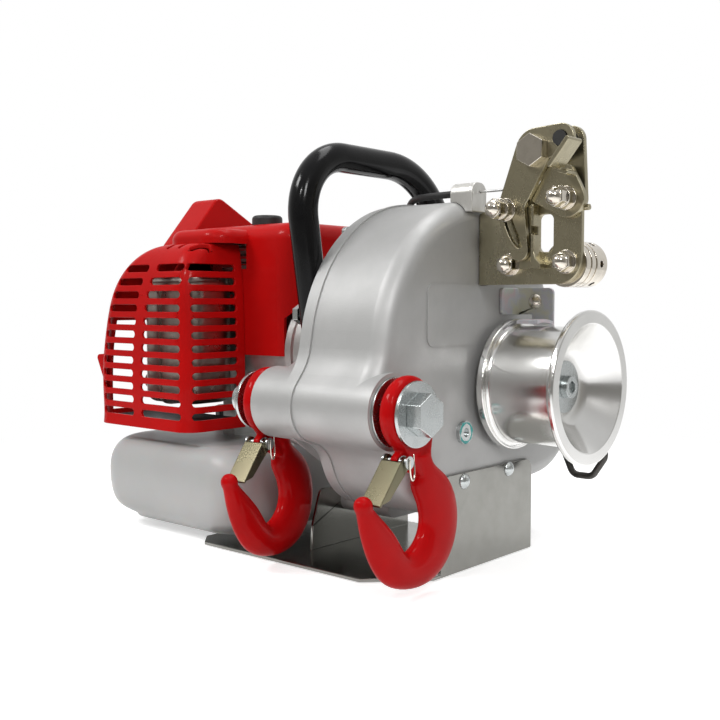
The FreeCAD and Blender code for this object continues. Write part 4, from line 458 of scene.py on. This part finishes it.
def link_new(name: str, data: bpy.types.ID) -> bpy.types.Object:
    """Put a mesh or curve into the scene as an object at the origin."""
    piece = bpy.data.objects.new(name, data)
    bpy.context.scene.collection.objects.link(piece)
    return piece


def outward(mesh: bpy.types.Mesh) -> None:
    """Merge doubles and point all faces outwards."""
    work = bmesh.new()
    work.from_mesh(mesh)
    bmesh.ops.remove_doubles(work, verts=work.verts, dist=SAME_POINT)
    bmesh.ops.recalc_face_normals(work, faces=work.faces)
    work.to_mesh(mesh)
    work.free()


def shade_smooth(mesh: bpy.types.Mesh) -> None:
    """Shade every face smooth."""
    mesh.polygons.foreach_set("use_smooth", np.ones(len(mesh.polygons), bool))


def full_turn(steps: int) -> np.ndarray:
    """Angles of a whole turn in equal steps, without the last one that meets the first."""
    return np.linspace(0, 2 * math.pi, steps, endpoint=False)


def grid_piece(name: str, points: np.ndarray, close_u: bool, close_v: bool,
               caps: bool = False) -> bpy.types.Object:
    """Surface over a grid of points, joined up where a direction is closed.

    Args:
        name: object name.
        points: array of shape (u, v, 3) in metres.
        close_u: join the last row to the first.
        close_v: join the last column to the first.
        caps: close the first and last row with one face each.

    Returns:
        The new object, shaded smooth.
    """
    rows, columns = points.shape[:2]
    u = np.arange(rows if close_u else rows - 1)[:, None]
    v = np.arange(columns if close_v else columns - 1)[None, :]
    u_next, v_next = (u + 1) % rows, (v + 1) % columns
    quads = np.stack([u * columns + v, u_next * columns + v,
                      u_next * columns + v_next, u * columns + v_next], axis=-1)
    faces = quads.reshape(-1, 4).tolist()
    if caps:
        faces.append(list(range(columns)))
        faces.append(list(range((rows - 1) * columns, rows * columns))[::-1])
    mesh = bpy.data.meshes.new(name)
    mesh.from_pydata(points.reshape(-1, 3).tolist(), [], faces)
    outward(mesh)
    shade_smooth(mesh)
    return link_new(name, mesh)


def wire_piece(name: str, path: np.ndarray, radius: float, sides: int = 12) -> bpy.types.Object:
    """Round wire: a circle square to a flat path, p + r (cos a n + sin a b).

    The plane's own normal and the path's direction give n and b.

    Args:
        name: object name.
        path: points along the wire, shape (k, 3), in metres.
        radius: wire radius in metres.
        sides: points round the circle.

    Returns:
        The new object with closed ends.
    """
    ahead = np.gradient(path, axis=0)
    ahead /= np.linalg.norm(ahead, axis=1, keepdims=True)
    plane = np.linalg.svd(path - path.mean(axis=0))[2][2]
    first = np.cross(ahead, plane)
    first /= np.linalg.norm(first, axis=1, keepdims=True)
    second = np.cross(ahead, first)
    angle = full_turn(sides)[None, :, None]
    ring = np.cos(angle) * first[:, None, :] + np.sin(angle) * second[:, None, :]
    return grid_piece(name, path[:, None, :] + radius * ring, False, True, caps=True)


def merged_copy(node: str, flat: float = 0.0) -> bpy.types.Object:
    """Copy of a solid's mesh with its loose triangles merged, which stands for the node.

    Args:
        node: name of the solid.
        flat: angle in degrees below which neighbouring faces become one, or none.

    Returns:
        The new object, shaded smooth and riding where the solid rides.
    """
    mesh = frame["nodes"][node].data.copy()
    work = bmesh.new()
    work.from_mesh(mesh)
    bmesh.ops.remove_doubles(work, verts=work.verts, dist=SAME_CORNER)
    if flat:
        bmesh.ops.dissolve_limit(work, angle_limit=math.radians(flat), verts=work.verts,
                                 edges=work.edges)
    work.to_mesh(mesh)
    work.free()
    shade_smooth(mesh)
    piece = link_new(node + "_finished", mesh)
    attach(piece, frame["nodes"][node]["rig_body"])
    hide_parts(node)
    return piece


def softened(node: str, width: float, segments: int = 2, angle: float = 32.0) -> bpy.types.Object:
    """Merged copy of a solid with rounded edges.

    Args:
        node: name of the solid.
        width: width of the rounding in metres.
        segments: faces across the rounding.
        angle: least angle in degrees of an edge that is rounded.

    Returns:
        The new object, riding where the solid rides.
    """
    piece = merged_copy(node, flat=FLAT_ANGLE)
    bevel = piece.modifiers.new("edges", "BEVEL")
    bevel.width = width
    bevel.segments = segments
    bevel.limit_method = "ANGLE"
    bevel.angle_limit = math.radians(angle)
    bevel.use_clamp_overlap = False
    shading = piece.modifiers.new("shading", "WEIGHTED_NORMAL")
    shading.mode = "FACE_AREA"
    shading.weight = NORMAL_WEIGHT
    return piece


def forged(node: str, grain: float = 0.0009, rounds: int = 10) -> bpy.types.Object:
    """Merged copy of a solid grown together from small cells and smoothed, as a forging is.

    Args:
        node: name of the solid.
        grain: cell size in metres.
        rounds: passes of smoothing.

    Returns:
        The new object, riding where the solid rides.
    """
    piece = merged_copy(node)
    cells = piece.modifiers.new("grown", "REMESH")
    cells.mode = "VOXEL"
    cells.voxel_size = grain
    cells.use_smooth_shade = True
    ease = piece.modifiers.new("eased", "SMOOTH")
    ease.factor = 0.5
    ease.iterations = rounds
    return piece


# Sub-assemblies

@dataclass
class Dressed:
    """A sub-assembly whose solids keep their shape and get finishes."""

    title: str
    plain: dict[str, Look] = field(default_factory=dict)
    edged: dict[str, tuple[Look, float]] = field(default_factory=dict)

    def build(self) -> None:
        """Dress the plain nodes, and give the edged ones rounded edges."""
        for node, look in self.plain.items():
            dress(frame["nodes"][node], look)
            LOG.info("%s: %s", self.title, node)
        for node, (look, width) in self.edged.items():
            dress(softened(node, width), look)
            LOG.info("%s: %s with edges of %.2f mm", self.title, node, 1000 * width)
        self.add_pieces()

    def add_pieces(self) -> None:
        """Make the pieces that this sub-assembly adds to its solids; none here."""


@dataclass
class Cables(Dressed):
    """Throttle cable from the lug to the carburettor, and the hose from the tank."""

    title: str = "cables"
    cable_radius: float = 0.0025
    hose_radius: float = 0.003
    spline_order: int = 3
    spline_steps: int = 10
    round_steps: int = 6
    cable_points: tuple[Point, ...] = (
        (0.0965, 0.0053, 0.264), (0.060, 0.0053, 0.264), (0.038, 0.016, 0.264),
        (0.020, 0.034, 0.260), (0.0, 0.048, 0.254), (-0.030, 0.059, 0.244),
        (-0.056, 0.061, 0.2295), (-0.072, 0.060, 0.2235), (-0.090, 0.060, 0.2235))
    hose_points: tuple[Point, ...] = (
        (-0.078, 0.040, 0.075), (-0.078, 0.040, 0.101), (-0.084, 0.068, 0.125),
        (-0.094, 0.074, 0.147), (-0.105, 0.074, 0.162), (-0.105, 0.074, 0.178))

    def build(self) -> None:
        """Lay both lines."""
        self.line("throttle_sheath", "throttle_cable", self.cable_points, self.cable_radius,
                  "stiff")
        self.line("fuel_hose", "fuel_line", self.hose_points, self.hose_radius, "medium")

    def line(self, name: str, node: str, points: tuple[Point, ...], radius: float,
             stiffness: str) -> None:
        """One smooth spline with the route's points as controls; their radius is its thickness.

        Args:
            name: piece name.
            node: the solid that it replaces.
            points: route in metres.
            radius: half its thickness in metres.
            stiffness: not used.
        """
        data = bpy.data.curves.new(name, "CURVE")
        data.dimensions = "3D"
        spline = data.splines.new("NURBS")
        spline.points.add(len(points) - 1)
        rows = np.column_stack([np.array(points), np.ones(len(points))])
        spline.points.foreach_set("co", rows.ravel())
        spline.points.foreach_set("radius", np.full(len(points), radius))
        spline.order_u = self.spline_order
        spline.use_endpoint_u = True
        spline.resolution_u = self.spline_steps
        piece = dress(link_new(name, data), Look.RUBBER)
        length = self.length(piece)
        data.bevel_depth = 1.0
        data.bevel_resolution = self.round_steps
        data.use_fill_caps = True
        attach(piece, "frame")
        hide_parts(node)
        LOG.info("%s: %s", self.title, name)

    @staticmethod
    def length(piece: bpy.types.Object) -> float:
        """Length of a spline's line, read from it before it has a thickness."""
        bpy.context.view_layer.update()
        depsgraph = bpy.context.evaluated_depsgraph_get()
        mesh = bpy.data.meshes.new_from_object(piece.evaluated_get(depsgraph))
        rows = np.zeros(3 * len(mesh.vertices))
        mesh.vertices.foreach_get("co", rows)
        bpy.data.meshes.remove(mesh)
        steps = np.diff(rows.reshape(-1, 3), axis=0)
        return float(np.linalg.norm(steps, axis=1).sum())


@dataclass
class GearCase(Dressed):
    """Casting, cover, their bolts and the oil plug with its bead of sealant.

    The bead's waves are rows of count, height and phase round the plug.
    """

    title: str = "gear case"
    bead_turn: float = 0.0068
    bead_radius: float = 0.0010
    bead_flat: float = 0.9
    bead_steps: tuple[int, int] = (72, 14)
    bead_waves: tuple[tuple[int, float, float], ...] = ((3, 0.22, 0.7), (7, 0.15, 0.0))

    def add_pieces(self) -> None:
        """Bead round the oil plug."""
        low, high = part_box("oil_plug")
        middle = (low + high) / 2
        case_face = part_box("gear_case")[1].x
        bead = self.bead((case_face, middle.y, middle.z))
        dress(bead, Look.SEALANT)
        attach(bead, "frame")
        LOG.info("%s: %s", self.title, bead.name)

    def bead(self, centre: Point) -> bpy.types.Object:
        """Uneven ring: a circle of radius R (1 + waves) carried round a larger one in Y and Z.

        Args:
            centre: middle of the plug at the case's face, in metres.

        Returns:
            The new object.
        """
        turn = full_turn(self.bead_steps[0])[:, None]
        around = full_turn(self.bead_steps[1])[None, :]
        waves = sum(height * np.sin(count * turn + phase)
                    for count, height, phase in self.bead_waves)
        thick = self.bead_radius * (1 + waves)
        away = self.bead_turn + thick * np.cos(around)
        points = np.stack([centre[0] + self.bead_flat * thick * np.sin(around),
                           centre[1] + away * np.cos(turn),
                           centre[2] + away * np.sin(turn)], axis=-1)
        return grid_piece("plug_sealant", points, True, True)


@dataclass
class Anchor(Dressed):
    """Anchor bolt with washers, two forged hooks, their latches and latch springs.

    The nut's rows hold the depth along the bolt and the largest radius there.
    """

    title: str = "anchor"
    nut_rows: tuple[tuple[float, float], ...] = (
        (0.0, 0.0079), (0.0, 0.0122), (0.0010, 0.0141), (0.0098, 0.0141), (0.0108, 0.0122),
        (0.0110, 0.0108), (0.0148, 0.0106), (0.0158, 0.0098), (0.0160, 0.0086), (0.0156, 0.0079))
    nut_steps: int = 96
    nut_sharp: float = 28.0
    loop_half: float = 0.0034
    loop_drop: float = 0.0112
    loop_side: float = 0.0104
    loop_lean: float = 0.0022
    loop_shift: float = 0.8
    loop_ends: tuple[float, float] = (-0.25, math.pi + 0.45)
    loop_steps: int = 56
    wire_radius: float = 0.0005
    left_yaw: float = 8.0

    def add_pieces(self) -> None:
        """Lock nut, forged hooks and the hanging loops of their latch springs."""
        nut = dress(self.lock_nut(), Look.ZINC)
        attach(nut, "frame")
        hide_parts("anchor_nut")
        LOG.info("%s: %s", self.title, nut.name)
        for side in ("left", "right"):
            dress(forged("hook_" + side), Look.HOOK_RED)
            yaw = math.radians(self.left_yaw) if side == "left" else 0.0
            loop = self.loop("latch_spring_" + side, "latch_pivot_" + side, yaw)
            dress(loop, Look.BRIGHT_NICKEL)
            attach(loop, side + "_hook")
            LOG.info("%s: hook and spring loop, %s", self.title, side)

    def lock_nut(self) -> bpy.types.Object:
        """Hexagon nut with a round collar: the lesser of hexagon(t) and the row's radius.

        Returns:
            The new object.
        """
        low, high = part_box("anchor_nut")
        flat = (high.y - low.y) / 2
        turn = full_turn(self.nut_steps)[None, :]
        sixth = math.pi / 3
        hexagon = flat / np.cos((turn + sixth / 2) % sixth - sixth / 2)
        rows = np.array(self.nut_rows)
        away = np.minimum(hexagon, rows[:, 1:])
        middle = (low + high) / 2
        points = np.stack([high.x - rows[:, :1] + 0 * away, middle.y + away * np.cos(turn),
                           middle.z + away * np.sin(turn)], axis=-1)
        piece = grid_piece("anchor_lock_nut", points, True, True)
        piece.data.set_sharp_from_angle(angle=math.radians(self.nut_sharp))
        return piece

    def loop(self, name: str, pivot: str, yaw: float) -> bpy.types.Object:
        """Ellipse arc of wire beside the pivot's head, (side, a (c - cos t), -b sin t).

        The side leans towards the hook with the third power of t.

        Args:
            name: piece name.
            pivot: node of the rivet that carries it.
            yaw: turn of the hook about Z in radians.

        Returns:
            The new object.
        """
        low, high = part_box(pivot)
        middle = (low + high) / 2
        turn = np.linspace(*self.loop_ends, self.loop_steps)
        across = self.loop_side - self.loop_lean * np.clip(turn / math.pi, 0, 1) ** 3
        back = self.loop_half * (self.loop_shift - np.cos(turn))
        drop = -self.loop_drop * np.sin(turn)
        path = np.stack([middle.x + across * math.cos(yaw) - back * math.sin(yaw),
                         middle.y + across * math.sin(yaw) + back * math.cos(yaw),
                         middle.z + drop], axis=-1)
        return wire_piece(name, path, self.wire_radius)


@dataclass
class Engine(Dressed):
    """Engine block, covers, tank, and a black sheet under the muffler that is painted shade for the
    dark strip between the guard and the tank.
    """

    title: str = "engine"
    shade_sheet_low: Point = (-0.206, -0.080, 0.0885)
    shade_sheet_high: Point = (-0.103, -0.0295, 0.0935)
    shade_sheet_thickness: float = 0.0012
    shade_sheet_steps: tuple[int, int] = (41, 31)
    shade_sheet_power: int = 8

    def add_pieces(self) -> None:
        """Black sheet below the muffler, fixed to the block, as painted shade."""
        # Painted shade: a black sheet that darkens the strip between the guard and the tank.
        shade_sheet = dress(self.shade_sheet(), Look.BLACK_PLASTIC)
        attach(shade_sheet, "frame")
        LOG.info("%s: %s", self.title, shade_sheet.name)

    def shade_sheet(self) -> bpy.types.Object:
        """Sheet over a rectangle that rises to its rim as a high power of max(|u|, |v|).

        Returns:
            The new object with a wall.
        """
        quarter = math.pi / 2
        u = np.sin(np.linspace(-quarter, quarter, self.shade_sheet_steps[0]))[:, None]
        v = np.sin(np.linspace(-quarter, quarter, self.shade_sheet_steps[1]))[None, :]
        low, high = np.array(self.shade_sheet_low), np.array(self.shade_sheet_high)
        middle, half = (low + high) / 2, (high - low) / 2
        rise = np.maximum(np.abs(u), np.abs(v)) ** self.shade_sheet_power
        points = np.stack([middle[0] + half[0] * u + 0 * v, middle[1] + half[1] * v + 0 * u,
                           low[2] + (high[2] - low[2]) * rise], axis=-1)
        piece = grid_piece("muffler_painted_shade", points, False, False)
        wall = piece.modifiers.new("wall", "SOLIDIFY")
        wall.thickness = self.shade_sheet_thickness
        return piece


# Studio

WHITE = (1.0, 1.0, 1.0, 1.0)


@dataclass(frozen=True)
class Lamp:
    """Soft rectangular lamp: place and target in metres, width and height, and watts."""

    name: str
    place: Point
    target: Point
    size: tuple[float, float]
    power: float

    def build(self) -> None:
        """Put the lamp into the scene, facing its target."""
        data = bpy.data.lights.new(self.name, "AREA")
        data.shape = "RECTANGLE"
        data.size, data.size_y = self.size
        data.energy = self.power
        lamp = bpy.data.objects.new(self.name, data)
        lamp.location = self.place
        lamp.rotation_mode = "QUATERNION"
        facing = Vector(self.target) - Vector(self.place)
        lamp.rotation_quaternion = facing.to_track_quat("-Z", "Y")
        bpy.context.scene.collection.objects.link(lamp)


@dataclass
class Studio:
    """Floor, lamps, world and the camera at the photograph's place.

    The room is a ramp of tints from the dark side in front to the bright side behind.
    """

    eye: Point = (0.4978, -0.5731, 0.1878)
    aim: Point = (-0.6549, 0.7534, -0.0586)
    lens: float = 49.53
    sensor: float = 36.0
    nearest: float = 0.01
    floor_half: float = 0.95
    floor_depth: float = 0.0005
    floor_steps: int = 5
    floor_paint: float = 0.86
    floor_level: float = 0.5
    floor_fade: tuple[float, float] = (0.3, 0.75)
    bright_side: Point = (-0.55, 0.82, 0.1)
    room: tuple[tuple[float, Color], ...] = (
        (0.0, (0.20, 0.195, 0.185)), (0.35, (0.30, 0.29, 0.27)),
        (0.6, (0.55, 0.55, 0.54)), (0.9, (0.92, 0.92, 0.92)))
    ceiling: float = 0.62
    ceiling_rise: tuple[float, float] = (0.25, 0.95)
    lamps: tuple[Lamp, ...] = (
        Lamp("key", (-0.9, -1.4, 1.7), (0.0, 0.0, 0.15), (0.7, 0.5), 20.0),
        Lamp("side", (1.5, -1.2, 1.3), (0.05, 0.0, 0.15), (0.35, 0.6), 13.0),
        Lamp("top", (0.1, 0.35, 1.9), (0.0, 0.0, 0.1), (1.6, 0.5), 10.0),
        Lamp("spark", (0.5, -1.6, 1.2), (0.05, 0.0, 0.15), (0.10, 0.10), 4.0))

    def build(self) -> None:
        """Set up all of it."""
        bpy.context.scene.view_settings.view_transform = "Standard"
        self.camera()
        self.floor()
        self.world()
        for lamp in self.lamps:
            lamp.build()
        LOG.info("studio: camera, floor, world and lamps")

    def camera(self) -> None:
        """Camera with the fitted place, direction and focal length."""
        data = bpy.data.cameras.new("camera")
        data.lens = self.lens
        data.sensor_width = self.sensor
        data.clip_start = self.nearest
        view = bpy.data.objects.new("camera", data)
        view.location = self.eye
        view.rotation_mode = "QUATERNION"
        view.rotation_quaternion = Vector(self.aim).to_track_quat("-Z", "Y")
        bpy.context.scene.collection.objects.link(view)
        bpy.context.scene.camera = view

    def floor(self) -> None:
        """Pale floor, a flat grid that turns plain white further out and takes the shadow."""
        side = np.linspace(-self.floor_half, self.floor_half, self.floor_steps)
        x, y = np.meshgrid(side, side, indexing="ij")
        flat = np.stack([x, y, np.full_like(x, -self.floor_depth)], axis=-1)
        ground = grid_piece("floor", flat, False, False)
        made = bpy.data.materials.new("floor")
        made.use_nodes = True
        made.node_tree.nodes.clear()
        board = Board(made.node_tree)
        out = board.add("ShaderNodeOutputMaterial")
        grey = (self.floor_paint, self.floor_paint, self.floor_paint, 1.0)
        paint = board.add("ShaderNodeBsdfDiffuse", {"Color": grey})
        shine = board.add("ShaderNodeEmission", {"Color": WHITE})
        where = board.add("ShaderNodeTexCoord")
        reach = board.add("ShaderNodeVectorMath", operation="LENGTH")
        board.join(where.outputs["Object"], reach.inputs[0])
        rise = self.smooth_step(board, reach.outputs["Value"], self.floor_fade)
        seen = self.seen_rays(board)
        board.join(board.math("MULTIPLY", seen, self.floor_level), shine.inputs["Strength"])
        both = board.add("ShaderNodeAddShader")
        board.join(paint.outputs[0], both.inputs[0])
        board.join(shine.outputs[0], both.inputs[1])
        white = board.add("ShaderNodeEmission", {"Color": WHITE})
        board.join(seen, white.inputs["Strength"])
        spread = board.add("ShaderNodeMixShader")
        board.join(rise, spread.inputs[0])
        board.join(both.outputs[0], spread.inputs[1])
        board.join(white.outputs[0], spread.inputs[2])
        board.join(spread.outputs[0], out.inputs[0])
        ground.data.materials.append(made)

    @staticmethod
    def smooth_step(board: Board, value: Socket, ends: tuple[float, float]) -> Socket:
        """Soft rise from 0 to 1 as a number goes from the first end to the second."""
        node = board.add("ShaderNodeMapRange", {"From Min": ends[0], "From Max": ends[1]},
                         interpolation_type="SMOOTHSTEP")
        board.join(value, node.inputs["Value"])
        return node.outputs[0]

    @staticmethod
    def seen_rays(board: Board) -> Socket:
        """One for rays from the camera, from gloss and through glass."""
        path = board.add("ShaderNodeLightPath")
        first = board.math("MAXIMUM", path.outputs["Is Camera Ray"], path.outputs["Is Glossy Ray"])
        return board.math("MAXIMUM", first, path.outputs["Is Transmission Ray"])

    def world(self) -> None:
        """White to the camera; a room that is bright behind the object and darker in front."""
        scene_world = bpy.data.worlds.new("studio")
        bpy.context.scene.world = scene_world
        scene_world.use_nodes = True
        scene_world.node_tree.nodes.clear()
        board = Board(scene_world.node_tree)
        out = board.add("ShaderNodeOutputWorld")
        sky = board.add("ShaderNodeBackground", {"Strength": 1.0})
        board.join(sky.outputs[0], out.inputs[0])
        where = board.add("ShaderNodeTexCoord")
        split = board.add("ShaderNodeSeparateXYZ")
        board.join(where.outputs["Generated"], split.inputs[0])
        facing = board.add("ShaderNodeVectorMath", {1: self.bright_side}, operation="DOT_PRODUCT")
        board.join(where.outputs["Generated"], facing.inputs[0])
        depth = board.add("ShaderNodeMapRange", {"From Min": -1.0, "From Max": 1.0})
        board.join(facing.outputs["Value"], depth.inputs["Value"])
        around = board.ramp(depth.outputs[0], self.room)
        lift = self.smooth_step(board, split.outputs["Z"], self.ceiling_rise)
        ceiling = board.add("ShaderNodeMix", data_type="RGBA")
        ceiling.inputs["B"].default_value = (self.ceiling, self.ceiling, self.ceiling, 1.0)
        board.join(lift, ceiling.inputs["Factor"])
        board.join(around, ceiling.inputs["A"])
        path = board.add("ShaderNodeLightPath")
        pick = board.add("ShaderNodeMix", data_type="RGBA")
        pick.inputs["B"].default_value = WHITE
        board.join(path.outputs["Is Camera Ray"], pick.inputs["Factor"])
        board.join(ceiling.outputs["Result"], pick.inputs["A"])
        board.join(pick.outputs["Result"], sky.inputs["Color"])


# The winch

def assemblies() -> list[Dressed]:
    """The winch's sub-assemblies in the order they are made, with edge widths in metres."""
    return [
        Cables(),
        Dressed("base", edged={
            "base_plate": (Look.SHEET, 0.0005), "base_screws": (Look.ZINC, 0.0003)}),
        GearCase(
            plain={"gear_case": Look.CASTING, "case_cover": Look.CASTING, "oil_plug": Look.ZINC},
            edged={"case_bolts": (Look.ZINC, 0.0003)}),
        Anchor(
            plain={"latch_pivot_left": Look.ZINC, "latch_pivot_right": Look.ZINC},
            edged={
                "anchor_bolt": (Look.ZINC, 0.0005), "anchor_washers": (Look.ZINC, 0.0004),
                "latch_left": (Look.YELLOW_ZINC, 0.0006),
                "latch_right": (Look.YELLOW_ZINC, 0.0006)}),
        Dressed(
            "drum",
            plain={"drum": Look.DRUM, "output_shaft": Look.STEEL, "output_seal": Look.RUBBER},
            edged={"drum_bolt": (Look.ZINC, 0.0003)}),
        Dressed("gear train", plain={node: Look.STEEL for node in (
            "input_pinion", "first_cluster_gear", "second_cluster_gear", "output_gear",
            "shaft_bearings", "clutch_drum", "clutch_shoes", "crankshaft")}),
        Dressed("handle", plain={"handle": Look.HANDLE}),
        Engine(
            plain={
                "clutch_housing": Look.ENGINE_CASTING, "crankcase": Look.ENGINE_CASTING,
                "cylinder": Look.ENGINE_CASTING, "carburettor": Look.ENGINE_CASTING,
                "flywheel": Look.ENGINE_CASTING, "muffler": Look.MUFFLER,
                "spark_plug": Look.STEEL, "throttle_lever": Look.STEEL, "fuel_tank": Look.TANK,
                "plug_cap": Look.RUBBER, "air_cleaner": Look.BLACK_PLASTIC,
                "tank_cap": Look.BLACK_PLASTIC, "starter_grip": Look.BLACK_PLASTIC,
                "engine_hood": Look.COVER_RED},
            edged={
                "muffler_guard": (Look.COVER_RED, 0.0006),
                "starter_cover": (Look.COVER_RED, 0.002)}),
        Dressed(
            "rope lock",
            plain={"throttle_wire": Look.STEEL, "rubber_bumper": Look.RUBBER},
            edged={
                "lock_bracket": (Look.NICKEL, 0.0006), "lock_arm_front": (Look.NICKEL, 0.0005),
                "lock_arm_rear": (Look.NICKEL, 0.0005), "cam_lever": (Look.NICKEL, 0.0005),
                "jaw_block": (Look.NICKEL, 0.0004), "spring_hub": (Look.BRIGHT_NICKEL, 0.0004),
                "cable_lug": (Look.LUG, 0.0006), "lock_bolts": (Look.BRIGHT_NICKEL, 0.0003),
                "arm_bolt": (Look.BRIGHT_NICKEL, 0.0005)}),
        Dressed(
            "rope guides",
            plain={"rope_keeper": Look.DARK_STEEL},
            edged={"rope_guard": (Look.GUARD_ZINC, 0.0005)}),
    ]


def main() -> None:
    """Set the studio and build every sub-assembly."""
    logging.basicConfig(level=logging.INFO, format="%(name)s: %(message)s")
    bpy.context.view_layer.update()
    Studio().build()
    for assembly in assemblies():
        assembly.build()


if __name__ == "__main__":
    main()
